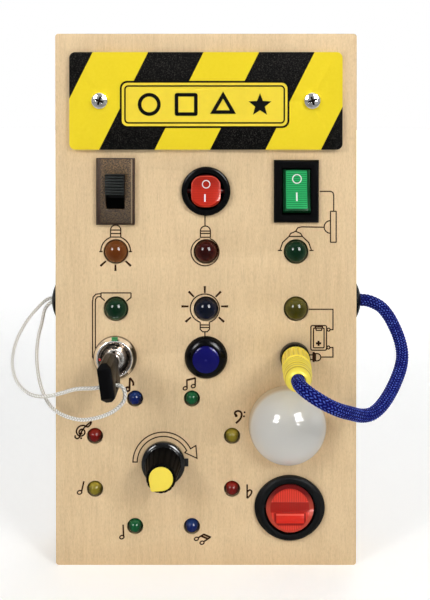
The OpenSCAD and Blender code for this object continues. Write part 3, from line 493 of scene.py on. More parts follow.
def bezel_look():
    """Dark and flecked, with painted shade towards its foot, a painted highlight strip at the right and a
    painted shaded border.
    """
    look = Look("spark_grey", srgb(10, 6, 4), 0.42, 0.3)
    side, end = half_size("slide_switch_bezel")
    across, _, up = look.measure(centre_of("slide_switch_bezel"))
    pits = look.noise(1500, 3, 0.8)
    look.cover(pits.span(0.42, 0.6), srgb(118, 90, 54))
    # Painted shade: darker towards the foot, as if lit from above
    look.cover(up.span(end, -end, 0.0, 0.7), srgb(30, 22, 15))
    # Painted highlight: a pale strip along the right bevel
    look.cover(across.within(side - 1.6, side - 1.1), srgb(128, 108, 82))
    # Painted shade along the bevels at the sides and ends
    shaded_sides = calc("MAXIMUM", across.span(2.3 - side, 2.0 - side), across.span(side - 1.0, side - 0.8))
    shaded_ends = calc("MAXIMUM", up.span(end - 0.6, end - 0.4), up.span(0.8 - end, 0.6 - end))
    look.cover(calc("MAXIMUM", shaded_sides, shaded_ends) * 0.85, srgb(40, 22, 14))
    look.set(Roughness=pits.span(0.3, 0.7, 0.55, 0.35))
    return look.finish(pits, 0.2)


def lens_look(name, middle, edge, top):
    """Dark tinted plastic with painted light; zone says how far out and how high on its dome a point lies."""
    look = Look(name, middle, 0.03, 0.15)
    out, up = look.painted("zone")
    # Painted rim: a reflection on the large lenses, shade on the small ones
    look.cover(out.span(0.45, 0.85), edge)
    # Painted light: the top lighter, as if lit from above
    look.cover(up.span(0.55, 0.85), top)
    look.cover(look.noise(500) * 0.35, shade(middle, 0.7))
    return look.finish(look.noise(700), 0.002)


def dome_look():
    """Milky plastic, clearer towards its foot, where the wood shows through."""
    look = Look("milky_plastic", srgb(228, 225, 216), 0.4, 0.1, Coat_Weight=0.6, Coat_Roughness=0.0,
                Subsurface_Scale=8 * MM, Subsurface_Radius=(1, 1, 1))
    foot = look.measure()[1].span(7.2, 4.6)
    look.cover(look.noise(60), srgb(234, 231, 223))
    look.cover(foot * 0.9, srgb(204, 182, 148))
    look.set(Subsurface_Weight=foot.span(0, 1, 0.85, 0.1))
    return look.finish(look.noise(500), 0.003)


def ink_look():
    """Lines burnt into the wood."""
    look = Look("burnt_ink", srgb(8, 3, 1), 0.8, 0.1)
    look.cover(look.noise(420, 3), srgb(66, 34, 12))
    return look.finish(look.noise(4000), 0.03)


def braid_look(name, dark, light, stitch_highlight, share, rough, sheen):
    """Painted shade between the strands, their colour on them, and a painted highlight on each stitch's
    crown; share is how much highlight the dullest strands get.
    """
    look = Look(name, dark, rough, 0.06, Sheen_Weight=sheen, Sheen_Roughness=0.5)
    height, strand = look.painted("braid")
    fibres = look.noise(6000)
    # The strands' colour on their tops; the dark colour left in the gaps is painted shade
    look.cover(height.span(0.15, 0.75), light)
    # Painted highlight along the crown of each stitch, stronger on some strands
    look.cover(strand.span(0.0, 1.0, share, 1.0) * height.span(0.7, 0.97), stitch_highlight)
    look.cover(fibres * 0.2, dark)
    return look.finish(fibres, 0.05)


SCREW_X = 49.5


def screw_look():
    """Chrome; the cross recess lies in shadow."""
    look = Look("screw_chrome", (0.62, 0.6, 0.57), 0.1, Metallic=1.0)
    top = top_of("sign_screws")
    x, height, up = look.measure(centre_of("sign_screws"))
    in_recess = height.span(top - 0.3, top - 0.5) * away(abs(x) - SCREW_X, up).span(2.4, 2.2)
    look.cover(look.noise(900), (0.86, 0.86, 0.87))
    look.cover(in_recess, (0.03, 0.025, 0.02))
    return look.finish(look.noise(1500), 0.003)


GRIP_RIBS, GRIP_PLAIN = 7, 4


def grip_look():
    """The slider's grip: painted highlights on the rib tops, dark grooves."""
    look = Look("grip_black", srgb(4, 4, 5), 0.4, 0.15)
    top = top_of("slide_switch_slider")
    rib = (2 * half_size("slide_switch_slider")[1] - GRIP_PLAIN) / GRIP_RIBS
    _, height, up = look.measure(centre_of("slide_switch_slider"))
    # Painted highlight along the tops of the ribs
    rib_top_highlight = calc("COSINE", up * (2 * pi / rib)).span(-0.1, -0.7) * height.span(top - 0.5, top - 0.3)
    look.cover(rib_top_highlight * look.noise(1500).span(0.2, 0.6, 0.6, 1.0), srgb(46, 51, 49))
    return look.finish(look.noise(2500), 0.03)


def knob_look():
    """A glossy skirt and duller flutes."""
    look = Look("knob_black", srgb(3, 3, 4), 0.3, IOR=1.45)
    on_skirt = look.measure()[1].span(4.2, 3.8)
    look.cover(look.noise(400), srgb(8, 8, 9))
    look.set(Specular_IOR_Level=on_skirt.span(0, 1, 0.02, 0.35), Roughness=on_skirt.span(0, 1, 0.42, 0.16))
    return look.finish(look.noise(1800), 0.01)


PLUG_YELLOW = srgb(250, 226, 84)
PLUG_LEAN = tan(radians(2.9))
# In mm along the plug: its fluted collar, and the grooves round its neck
PLUG_FLUTES, COLLAR = 18, (8.2, 22.2)
NECK_GROOVES = ((24.0, 25.6), (27.5, 28.7), (30.7, 31.8), (34.1, 35.2), (37.6, 38.5), (40.4, 41.2))


def plug_look():
    """Finger flutes round the plug's collar and grooves round its neck, darkened with painted shade."""
    look = Look("plug_moulded", shade(PLUG_YELLOW, 1.05), 0.36, 0.25)
    across, height, up = look.measure(centre_of("socket_body"))
    side = across + height * PLUG_LEAN
    along = height - side * PLUG_LEAN
    flute = calc("COSINE", calc("ARCTAN2", up, side) * PLUG_FLUTES).span(0.1, 0.9)
    groove = flute * along.within(*COLLAR, 0.4) * 0.4
    for start_and_end in NECK_GROOVES:
        groove = calc("MAXIMUM", groove, along.within(*start_and_end, 0.3))
    look.cover(look.noise(260, 3), shade(PLUG_YELLOW, 1.12))
    # Painted shade in the flutes and grooves
    look.cover(groove * 0.75, srgb(186, 152, 34))
    return look.finish(1.0 - groove, 0.2, 0.6)


def ribbed_look(name, colour, dark, edge, rib, strength, centre, face, upper=0.0):
    """Clear coloured plastic over fine ribs, dark outside its rounded face, with a painted line at that edge.

    face is the face's half width, half height and squareness; upper paints shade towards the top."""
    look = Look(name, colour, 0.16, 0.25)
    half_w, half_h, power = face
    across, _, up = look.measure(centre)
    wave = calc("SINE", (up + centre[1]) * (2 * pi / rib)).span(-0.6, 0.8)
    # Painted shade in the rib troughs
    look.cover(wave * strength, shade(colour, 0.35))
    look.cover(look.noise(500) * 0.3, shade(colour, 1.2))
    # Painted shade towards the top, where the face tilts away from the light
    look.cover(up.span(0, 4, 0.0, upper), shade(colour, 0.3))
    out = (abs(across / half_w) ** power + abs(up / half_h) ** power) ** (1 / power)
    # Painted line at the face's edge: a highlight on the red paddle, faint shade on the green lens
    look.cover(out.within(0.93, 0.98, 0.015), edge)
    look.cover(out.span(0.98, 1.01), dark)
    return look.finish(wave, 0.03, 0.4)


RED = srgb(216, 50, 28)


def big_paddle_look():
    """Upright ribs, a raised bar in a hollow in the lower half, and a ring round it, with painted light and
    shade.
    """
    look = Look("big_red", srgb(224, 62, 46), 0.22, 0.25)
    centre = centre_of("big_rocker_body")
    x, _, up = look.measure(centre)
    out = away(x, up)
    wave = calc("SINE", (x + centre[0]) * (2 * pi / 1.05)).span(-0.6, 0.6)
    hollow = up.within(-7.1, -1.9, 0.3) * abs(x).span(7.7, 7.1)
    bar = up.within(-6.2, -1.8) * abs(x).span(6.6, 6.4)
    # Painted shade on the band that leans away from the light
    look.cover(up.within(-1.7, 2.9), srgb(166, 26, 16))
    # Painted shade in the rib troughs
    look.cover(wave * 0.4, shade(RED, 0.4))
    # Painted highlight along the lower edge of the half-moon above the band
    look.cover(up.within(2.9, 3.3) * 0.8, srgb(240, 92, 76))
    # Painted shadow in the hollow round the bar
    look.cover(hollow * 0.85, srgb(120, 12, 8))
    look.cover(bar, srgb(216, 40, 24))
    # Painted highlight along the bar's top edge
    look.cover(bar * up.within(-2.7, -2.1), srgb(240, 96, 78))
    # Painted light on the ring: shade at the top, lit and reflecting the wood at the sides and foot
    ring = mix(up.span(7, 0), srgb(104, 8, 5), srgb(182, 66, 48))
    look.cover(out.span(8.9, 9.4), mix(up.span(-5, -9), ring, srgb(190, 60, 44)))
    # Painted shade along the paddle's outer edge
    look.cover(out.span(11.0, 11.4), srgb(70, 6, 4))
    return look.finish(wave * (1.0 - bar), 0.04, 0.5)


LOCK_X, LOCK_Z = centre_of("lock_nut")


def lock_look():
    """Chrome with a turned face, painted bright and dark reflection rings, and dark places on its flank and
    rim;
    those on the flank are painted reflection, the one at the rim painted shade.
    """
    look = Look("lock_chrome", (0.52, 0.46, 0.4), 0.16, Metallic=1.0)
    across, _, up = look.measure((LOCK_X, LOCK_Z))
    out, rim = away(across, up), half_size("lock_barrel")[0]
    swirl = calc("SINE", out * (2 * pi / 0.35)).span(-1, 1)
    look.cover(swirl * 0.3, (0.33, 0.29, 0.25))
    # Painted reflections and shade: a dark ring, a bright ring and a bright band beyond 7.5 mm
    look.cover(out.within(6.1, 6.6), (0.05, 0.045, 0.04))
    look.cover(out.within(4.2, 4.9), (0.9, 0.9, 0.9))
    look.cover(out.span(7.5, 7.7), (0.92, 0.92, 0.94))
    # Painted reflection: dark places on the flank, by the way it faces
    to_x, _, to_z = look.facing()
    low_right = to_x.within(0.1, 0.5, 0.05) * to_z.span(-0.5, -0.65)
    look.cover(calc("MAXIMUM", to_x.span(0.62, 0.76), low_right) * out.span(8.5, 8.8), (0.03, 0.03, 0.03))
    # Painted shade round the barrel's rim
    look.cover(out.within(rim - 0.4, rim + 1) * 0.85, (0.1, 0.07, 0.05))
    return look.finish(swirl, 0.004)


def floor_look():
    """Pale and matt. The camera sees it white with the object's shadow; gloss sees it dimmer in front."""
    look = Look("floor", srgb(239, 239, 238), 0.8)
    rays = add_node(look.tree, "LightPath")
    look.cover(look.noise(3), srgb(243, 243, 242))
    look.cover(axes(look.coords)[1].span(-0.1, -0.28) * Value(rays, "Is Glossy Ray"), srgb(132, 132, 132))
    look.set(Base_Color=look.base)
    reach = Value(add_node(look.tree, "VectorMath", {0: look.coords}, operation="LENGTH"), "Value")
    lift = Value(rays, "Is Camera Ray") * reach.span(0.4, 2.6, 0.3, 0.72)
    glow = add_node(look.tree, "Emission", {"Strength": lift})
    both = add_node(look.tree, "AddShader", {0: Value(look.bsdf), 1: Value(glow)})
    feed(look.tree.nodes["Material Output"].inputs["Surface"], Value(both))
    return look.mat


# Name, colour, roughness, grain, relief in mm, colour variation, specular level, IOR
PLASTICS = (
    ("black_plastic", (5, 5, 6), 0.34, 2200, 0.03, 0.15, 0.12, 1.3),
    ("black_gloss", (5, 5, 6), 0.2, 1600, 0.01, 0.1, 0.14, 1.4),
    ("rim_black", (5, 6, 7), 0.5, 1800, 0.02, 0.15, 0.08),
    ("matt_black", (24, 24, 26), 0.5, 3000, 0.05, 0.15, 0.15),
    ("cap_blue", (8, 7, 90), 0.22, 1500, 0.01, 0.08, 0.15),
    ("plug_yellow", (250, 226, 84), 0.36, 1600, 0.02, 0.05, 0.25),
    ("white_plastic", (225, 225, 222), 0.45),
    ("circuit_board", (40, 112, 62), 0.35, 600, 0.02, 0.2),
    ("cell_wrap", (214, 160, 60), 0.3, 900, 0.01, 0.1),
    ("plaque_yellow", (238, 211, 44), 0.42, 1800, 0.04, 0.06),
    ("plaque_black", (5, 5, 5), 0.5, 1800, 0.04, 0.1, 0.04),
    ("dark_green_gloss", (0, 44, 20), 0.5, 1500, 0.01, 0.2, 0.05),
    ("mark_white", (236, 236, 234), 0.4, 1500, 0.01, 0.03),
    ("mark_green", (52, 132, 78), 0.4, 1500, 0.01, 0.06),
    ("mark_red", (196, 40, 34), 0.4, 1500, 0.01, 0.06))
# A lens's colour at its middle, its painted rim (lighter on large lenses, darker on small) and its painted
# lit top
LENSES = {
    "orange_lens": ((100, 50, 14), (122, 70, 30), (118, 66, 26)),
    "red_lens": ((44, 6, 3), (72, 20, 15), (62, 12, 8)),
    "green_lens": ((4, 38, 19), (26, 60, 39), (20, 52, 31)),
    "blue_lens": ((3, 10, 28), (20, 28, 52), (12, 16, 32)),
    "olive_lens": ((60, 57, 11), (88, 84, 30), (94, 88, 36)),
    "green_small_lens": ((12, 84, 46), (6, 40, 22), (30, 100, 60)),
    "olive_small_lens": ((136, 122, 34), (62, 54, 12), (160, 144, 54)),
    "red_small_lens": ((108, 12, 8), (40, 4, 3), (140, 34, 24)),
    "blue_small_lens": ((8, 28, 92), (4, 12, 40), (30, 56, 112))}
ROUND_X, ROUND_Z = centre_of("round_rocker_body")
RECT_X, RECT_Z = centre_of("rect_rocker_body")
BRUSHED = (1, 0.1, 1)

M = {name: plastic(name, srgb(*colour), *rest) for name, colour, *rest in PLASTICS}
M.update({name: lens_look(name, *(srgb(*colour) for colour in colours)) for name, colours in LENSES.items()})
M.update({
    "plywood": wood_look(srgb(229, 202, 161), srgb(214, 185, 144)),
    "chrome": metal("chrome", (0.83, 0.83, 0.85), 0.08, relief=0.002),
    "steel": metal("steel", (0.62, 0.61, 0.6), 0.3, BRUSHED),
    "shank_steel": metal("shank_steel", (0.34, 0.28, 0.23), 0.2, BRUSHED),
    "brass": metal("brass", (0.78, 0.6, 0.28), 0.3),
    "sign_yellow": sign_look(), "grey_plastic": bezel_look(), "milky_plastic": dome_look(), "ink": ink_look(),
    # Each braid's first colour is painted shade between its strands, its third a painted highlight
    "cord_blue": braid_look("cord_blue", srgb(0, 0, 3), srgb(2, 4, 112), srgb(112, 142, 255),
                            share=0.14, rough=0.4, sheen=0.0),
    "string_white": braid_look("string_white", srgb(146, 136, 116), srgb(253, 251, 247), srgb(255, 255, 254),
                               share=0.4, rough=0.75, sheen=0.3)})
# Nodes whose look isn't their slot's
OWN_LOOKS = {
    "key_shank": M["shank_steel"], "potentiometer": M["matt_black"], "socket_body": M["black_plastic"],
    "big_rocker_body": M["rim_black"], "sign_screws": screw_look(), "slide_switch_slider": grip_look(),
    "knob": knob_look(), "plug_shell": plug_look(), "lock_barrel": lock_look(),
    "big_rocker_paddle": big_paddle_look(),
    "round_rocker_paddle": ribbed_look("round_red", srgb(190, 42, 24), srgb(52, 3, 3), srgb(222, 80, 58),
                                       1.1, 0.2, (ROUND_X, ROUND_Z), (7.1, 7.4, 3), upper=0.4),
    "rect_rocker_lens": ribbed_look("rect_green", srgb(44, 178, 102), srgb(3, 52, 27), srgb(36, 160, 90),
                                    0.95, 1.0, (RECT_X, RECT_Z + 0.9), (5.05, 8.9, 24))}

# ---- the CAD nodes that stay
# Widths of rounded edges in mm, where they aren't 0.15
WIDTHS = {0: "light_board ring_board board_screws board_spacers push_button_spring",
          0.08: "slide_switch_slider", 0.1: "key_shank rect_rocker_lens", 0.12: "slide_switch_bezel",
          0.2: "sign_screws lock_barrel plug_shell rect_rocker_paddle", 0.3: "back_panel round_rocker_paddle",
          0.35: "front_panel key_bow big_rocker_body big_rocker_paddle", 0.4: "lamp_dome",
          0.5: "rect_rocker_body", 0.7: "sign_plate"}
EDGES = {node: width for width, nodes in WIDTHS.items() for node in nodes.split()}


def dress(node, material, bevel):
    """Gives a CAD node its material and rounds its edges."""
    obj = NODES[node]
    for slot in obj.material_slots:
        slot.material = material
    if not obj.material_slots:
        obj.data.materials.append(material)
    obj.data.polygons.foreach_set("use_smooth", [True] * len(obj.data.polygons))
    weld = obj.modifiers.new("weld", "WELD")
    weld.merge_threshold = 2e-6
    if bevel:
        edges = obj.modifiers.new("edges", "BEVEL")
        edges.width = bevel
        edges.segments = 2
        edges.limit_method = "ANGLE"
        edges.angle_limit = radians(35)
        edges.harden_normals = True


for part in frame["record"]["subparts"]:
    node = part["node"]
    dress(node, OWN_LOOKS.get(node) or M[part["material_slot"]], EDGES.get(node, 0.15) * MM)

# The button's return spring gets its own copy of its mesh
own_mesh(NODES["push_button_spring"])

# ---- O and I on the rockers
ROCKER_TILT = radians(9)
PIVOT_H, PADDLE_MID = -0.4, 2.6
RIDGE_UP = PADDLE_MID * sin(ROCKER_TILT)
RIDGE_H = PIVOT_H + PADDLE_MID * cos(ROCKER_TILT)


def on_paddle(centre_z, lift):
    """Heights just over a paddle at rest, which is flat above its ridge and leans out below it."""
    return lambda x, z: RIDGE_H + max(0.0, centre_z + RIDGE_UP - z) * tan(2 * ROCKER_TILT) + lift


def marks(name, centre_z, ring, ring_r, bar, bar_len, stroke, body):
    """A ring and a bar, given by their middles."""
    shape = Shape(on_paddle(centre_z, -0.05), on_paddle(centre_z, 0.05))
    ring_mid = ring_r - stroke / 2
    shape.ribbon(ellipse(*ring, ring_mid, ring_mid, 40), stroke, closed=True)
    shape.ribbon([(bar[0], bar[1] + bar_len * (k / 6 - 0.5)) for k in range(7)], stroke * 1.6)
    shape.make(name, M["mark_white"], body, "black_plastic")


marks("round_marks", ROUND_Z, at_px(206.2, 183.9), 1.95, at_px(205.0, 197.4), 3.4, 0.4, "round_paddle")
marks("rect_marks", RECT_Z, at_px(296.5, 178.6), 2.25, at_px(296.2, 196.2), 3.9, 0.45, "rect_paddle")

# ---- lights
COLUMN, HIGH_ROW, LOW_ROW = 42.3, 147.8, 120.9
LARGE_LIGHTS = {"orange_light": [(-COLUMN, HIGH_ROW)], "red_light": [(0, HIGH_ROW)],
                "green_lights": [(COLUMN, HIGH_ROW), (-COLUMN, LOW_ROW)], "blue_light": [(0, LOW_ROW)],
                "olive_light": [(COLUMN, LOW_ROW)]}
# Steps round the ring, clockwise from the light at its upper right
SMALL_LIGHTS = {"small_green_lights": (0, 4), "small_red_lights": (2, 6), "small_blue_lights": (3, 7),
                "small_olive_lights": (1, 5)}
RING_MID, RING_RX, RING_RZ = centre_of("knob"), 34.9, 32.6
# Radius and height
LARGE_LENS, SMALL_LENS = (5.3, 4.6), (3.15, 2.6)
PANEL_T, FLANGE, FLANGE_T, CHAMFER = 4, 0.9, 1.5, 0.15
LEG_R, LEG_GAP, LEG_END = 0.3, 2.54, -11.1


def in_ring(step):
    angle = radians(67.5 - 45 * step)
    return RING_MID[0] + RING_RX * cos(angle), RING_MID[1] + RING_RZ * sin(angle)


def lens_profile(radius, height):
    """A dome that comes through the panel, with a flange behind it."""
    rim, behind = radius + FLANGE, -PANEL_T - FLANGE_T
    return arc(0, height - radius, radius, 90, 0, 15) + [
        (radius, -PANEL_T), (rim - CHAMFER, -PANEL_T), (rim, -PANEL_T - CHAMFER), (rim, behind), (0, behind)]


def add_leads(shape, place, radius, top):
    """The light's reflector cup and its two legs."""
    cup = 0.42 * radius
    leg = [(0, top - 1.2), (LEG_R, top - 1.2), (LEG_R, LEG_END), (0, LEG_END)]
    shape.lathe(place, [(0, top - 1.1), (cup * 0.4, top - 0.9), (cup, top), (cup * 1.12, top),
                        (cup * 0.55, top - 1.6), (0, top - 1.7)], 24)
    for side in (-LEG_GAP / 2, LEG_GAP / 2):
        shape.lathe((place[0] + side, place[1]), leg, 10)


def add_lights(name, colour, kind, places, size, leads):
    """One piece for a CAD node's lights. Its zone says how far out and how high each point lies."""
    radius, height = size
    lens = Shape()
    for place in places:
        lens.lathe(place, lens_profile(radius, height), 56)
        add_leads(leads, place, radius, height - radius)
    obj = lens.make("lens_" + name, M[colour + kind], "root", colour + "_lens", smooth=True)
    zones = []
    for vertex in obj.data.vertices:
        x, _, z = vertex.co / MM
        cx, cz = min(places, key=lambda c: hypot(x - c[0], z - c[1]))
        zones.append((hypot(x - cx, z - cz) / radius, 0.5 + (z - cz) / radius / 2))
    paint(obj, "zone", zones)
    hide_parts(name)


light_leads = Shape()
for light, places in LARGE_LIGHTS.items():
    add_lights(light, light.split("_")[0], "_lens", places, LARGE_LENS, light_leads)
for light, steps in SMALL_LIGHTS.items():
    places = [in_ring(k) for k in steps]
    add_lights(light, light.split("_")[1], "_small_lens", places, SMALL_LENS, light_leads)
light_leads.make("light_leads", M["steel"], "root", "steel", smooth=True)

# ---- sign plaque
SIGN_H = top_of("sign_plate")
PLAQUE_X, PLAQUE_Z = -0.6, 216.8
SHAPE_GAP, SHAPE_STROKE = 17.2, 1.7


def on_sign(low, high):
    """A shape that lies between two heights over the sign."""
    return Shape(level(SIGN_H + low), level(SIGN_H + high))


def plaque(name, w, h, r, low, high, material):
    shape = on_sign(low, high)
    shape.fill(rounded_rect(PLAQUE_X, PLAQUE_Z, w, h, r, 6))
    shape.make(name, material, "root", "sign_yellow")


def toy_shapes():
    """A frame with a ring, a square, a triangle and a star."""
    ring, square, triangle, star = (PLAQUE_X + k * SHAPE_GAP for k in (-1.5, -0.5, 0.5, 1.5))
    shape = on_sign(0.18, 0.28)
    shape.ribbon(rounded_rect(PLAQUE_X, PLAQUE_Z, 74.2, 17.2, 1.6, 6), 0.7, closed=True)
    for outline in (ellipse(ring, PLAQUE_Z, 4.5, 4.5, 48), rounded_rect(square, PLAQUE_Z, 9, 9, 0.3, 2),
                    spokes(triangle, PLAQUE_Z - 0.9, [5.3] * 3)):
        shape.ribbon(outline, SHAPE_STROKE, closed=True)
    shape.fill(spokes(star, PLAQUE_Z - 0.3, [5.6, 2.4] * 5))
    shape.make("plaque_shapes", M["plaque_black"], "root", "sign_yellow")


plaque("plaque_back", 79, 22, 3.4, -0.02, 0.12, M["plaque_black"])
plaque("plaque_field", 77.2, 20.2, 2.7, 0.1, 0.2, M["plaque_yellow"])
toy_shapes()

# ---- drawings burnt into the wood
# Points are view pixels. Line widths are mm.
FINE, NOTE, BOLD, HEAD, RAY = 0.58, 0.75, 0.95, 0.62, [0.8, 0.95, 1.1]
LEAN = radians(20)


def flow(points):
    """A smooth line through pixels."""
    path, _ = smooth_path([(x, y, 0) for x, y in points], 0.6)
    return [(p.x, p.y) for p in path]


def turned(points, cx, cy, degrees):
    """Local points, y upwards, turned and put at a pixel."""
    c, s = cos(radians(degrees)), sin(radians(degrees))
    return [(cx + x * c - y * s, cy - (x * s + y * c)) for x, y in points]


ORANGE_LAMP = [[(115.7, 223.7), (115.7, 225.2)], arc(115.7, 230, 5.1, 180, 360), [(110.6, 230),
    (120.8, 230)], [(110.2, 233.5), (121.2, 233.5)], [(110.6, 230), (110.6, 237), (120.8, 237),
    (120.8, 230)], arc(115.7, 251.2, 14.8, -111, -181), arc(115.7, 251.2, 14.8, -69, 1), [(99.3, 251.5),
    (102.6, 251.5)], [(128.8, 251.5), (132.1, 251.5)]]
RED_LAMP = [[(205, 215.5), (205, 226.2)], arc(205.4, 231, 5, 180, 360), [(200.4, 231), (210.4, 231)],
    [(200.2, 233.4), (210.6, 233.4)], [(200.4, 231), (200.4, 237.2), (210.4, 237.2), (210.4, 231)],
    arc(205, 251.7, 14, -70, 250, 40)]
BELL = [[(319.5, 191.3), (330.4, 191.3), (332.7, 192.3), (333.6, 195), (333.6, 211.2)],
    arc(330.4, 226.9, 6.3, 90, 270), [(323.8, 227.2), (301.5, 226.8), (297.6, 227.8), (295.9, 230.9)],
    [(289, 236.4), (290.6, 233.4), (295.6, 231.2), (300.6, 233.4), (302.3, 236.4)], [(288.6, 236.4),
    (302.7, 236.4)], [(289, 236.4), (282.6, 242.4), (279.9, 250.2)], [(302.3, 236.4), (308.7, 242.4),
    (311.4, 250.2)], [(277.8, 250.4), (282, 250.4)], [(309.4, 250.4), (313.5, 250.4)]]
SCONCE = [[(101, 292.9), (131, 292.9)], [(101, 292.9), (101, 297.4), (104.8, 300.7)], [(131, 292.9),
    (131, 297.4), (126.4, 301.2)], [(101, 293.6), (96, 294.2), (93.2, 297), (92.5, 302), (92.5, 357),
    (94, 360)], [(101, 296.4), (97.2, 297), (95.6, 299.2), (95.3, 303), (95.3, 353)]]
NAVY_LAMP = [arc(204.8, 308.5, 14.5, 109, 431, 40), [(200.2, 322.2), (200.2, 325)], [(209.4, 322.2),
    (209.4, 325)], [(199.8, 325), (209.9, 325)], [(199.8, 327.5), (209.9, 327.5)], [(200.2, 325),
    (200.2, 329.3), (202.6, 331.8), (207.2, 331.8), (209.5, 329.3), (209.5, 325)], [(204.9, 331.8),
    (204.9, 337)]]
CELL_WIRES = [[(308.6, 309.3), (333, 309.3), (333, 329.7), (330.2, 329.7)], [(330.2, 347.6), (333, 347.6),
    (333, 357.2), (320.6, 357.2)], [(313.6, 355), (309.4, 355)], [(313.6, 359.6), (309.4, 359.6)]]
BELL_PUSH = [rounded_rect(333.25, 226.7, 5.7, 31, 0.3, 4)]
CELL = [rounded_rect(318.75, 337.95, 15.7, 24.7, 1.6, 4), rounded_rect(318.8, 338.05, 10.6, 19.7, 0.8, 4),
    [(315.2, 326.6), (322.6, 326.6), (321.4, 330.4), (316.4, 330.4)], arc(328.6, 329.7, 1.5, 0, 330, 11),
    arc(328.4, 347.6, 1.5, 0, 330, 11),
    [(315.5, 353.7)] + arc(317.2, 357.35, 3.65, -90, 90, 10) + [(315.5, 361)]]
TURN_ARROW = [arc(163.3, 463, 30.5, 181, 333, 40) + [(195.8, 446), (197, 458.8),
    (184.7, 453)] + arc(163.3, 463, 26.2, 333, 181, 40)]
CELL_END = [(312.4, 352.8), (313, 352), (314.4, 352), (315, 352.8), (315, 361.4), (314.4, 362.2),
    (313, 362.2), (312.4, 361.4)]
CELL_PLUS = [[(316, 343.4), (321.2, 343.4)], [(318.6, 340.8), (318.6, 346)]]
RAYS = [[(106, 261), (100.4, 266)], [(115.5, 264.5), (115.5, 271)], [(125.6, 261), (131, 266)],
    [(204.8, 293), (204.8, 286)], [(194, 296.9), (188.6, 291.4)], [(188.6, 306.4), (181.4, 306.4)],
    [(190.9, 317.2), (185.5, 322)], [(215.6, 296.9), (221, 291.4)], [(221, 306.4), (228.2, 306.4)],
    [(218.7, 317.2), (224.1, 322)]]
TREBLE = flow([(75.2, 435.6), (75, 437.8), (77.2, 439), (79.2, 437.6), (80, 435), (82, 431), (85, 427),
    (88.5, 424), (91, 422.2), (90.4, 424.6), (87.5, 427.2), (83.6, 425.8), (79.5, 426.6), (76.8, 429.6),
    (76.4, 433), (78.6, 436), (82, 436.2), (84.6, 433.8), (84.2, 430.8), (81.6, 429.6), (79.4, 431),
    (79, 433.4), (80.6, 434.6), (82, 433.2)])
BASS = flow(turned([(-1.2, 2), (-2.8, 2.2), (-3, 4.4), (-0.4, 6), (2.8, 5), (3.8, 1.8), (2.6, -2.2),
    (-0.8, -6.6)], 237.6, 417.2, -8))
NOTE_LINES = [[(187, 388), (186.8, 379.8)], [(195.1, 386), (195.3, 377.6)], [(81.3, 492.4),
    (83.7, 481.8)], [(123.4, 537.4), (122.9, 525.4)], [(198.1, 538.7), (203.9, 535)], [(203.8, 542.5),
    (210.6, 538)], [(247.2, 485), (247.2, 499)], flow([(247.2, 492.8), (249.6, 490.6), (251.8, 492),
    (250.6, 495.4), (247.2, 499)]), TREBLE]
NOTE_BEAMS = [[(129.4, 388.8), (129.8, 378)], flow([(129.8, 378), (131.6, 380.2), (133.2, 383),
    (133.1, 386)]), arc(127.6, 389.4, 2, 0, 360, 14), [(186.6, 380.4), (195.5, 378.2)], [(203.7, 535.2),
    (210.8, 538.3)], [(201.2, 536.8), (208.2, 539.9)], BASS]
# Note heads and dots: middle, half width, half height
HEADS = [(185.2, 388.5, 2.1, 1.6), (193.3, 386.3, 2.1, 1.6), (79.4, 493, 2.3, 1.8),
         (121.7, 538, 2.2, 1.7), (196.4, 539.7, 2.1, 1.6), (202, 543.6, 2.1, 1.6)]
DOTS = [(236.2, 416, 1.5, 1.5), (244.6, 412.6, 1, 1), (244, 416.6, 1, 1), (81, 438.6, 1, 1)]


def engrave():
    shape = Shape(level(-0.05), level(0.03))
    open_lines = ORANGE_LAMP + RED_LAMP + BELL + SCONCE + NAVY_LAMP + CELL_WIRES
    for lines, width, closed in ((open_lines, FINE, False), (BELL_PUSH + CELL + TURN_ARROW, FINE, True),
                                 (NOTE_LINES, NOTE, False), (NOTE_BEAMS + CELL_PLUS, BOLD, False)):
        for line in lines:
            shape.ribbon([at_px(*p) for p in line], width, closed)
    for (x0, y0), (x1, y1) in RAYS:
        middle = ((x0 + x1) / 2, (y0 + y1) / 2)
        shape.ribbon([at_px(x0, y0), at_px(*middle), at_px(x1, y1)], RAY)
    for x, y, rx, ry in HEADS:
        shape.ribbon(ellipse(*at_px(x, y), rx * PX, ry * PX, 16, LEAN), HEAD, closed=True)
    for x, y, rx, ry in DOTS:
        shape.fill(ellipse(*at_px(x, y), rx * PX, ry * PX, 16, LEAN))
    shape.fill([at_px(*p) for p in CELL_END])
    shape.make("engraving", M["ink"], "root", "plywood")


engrave()

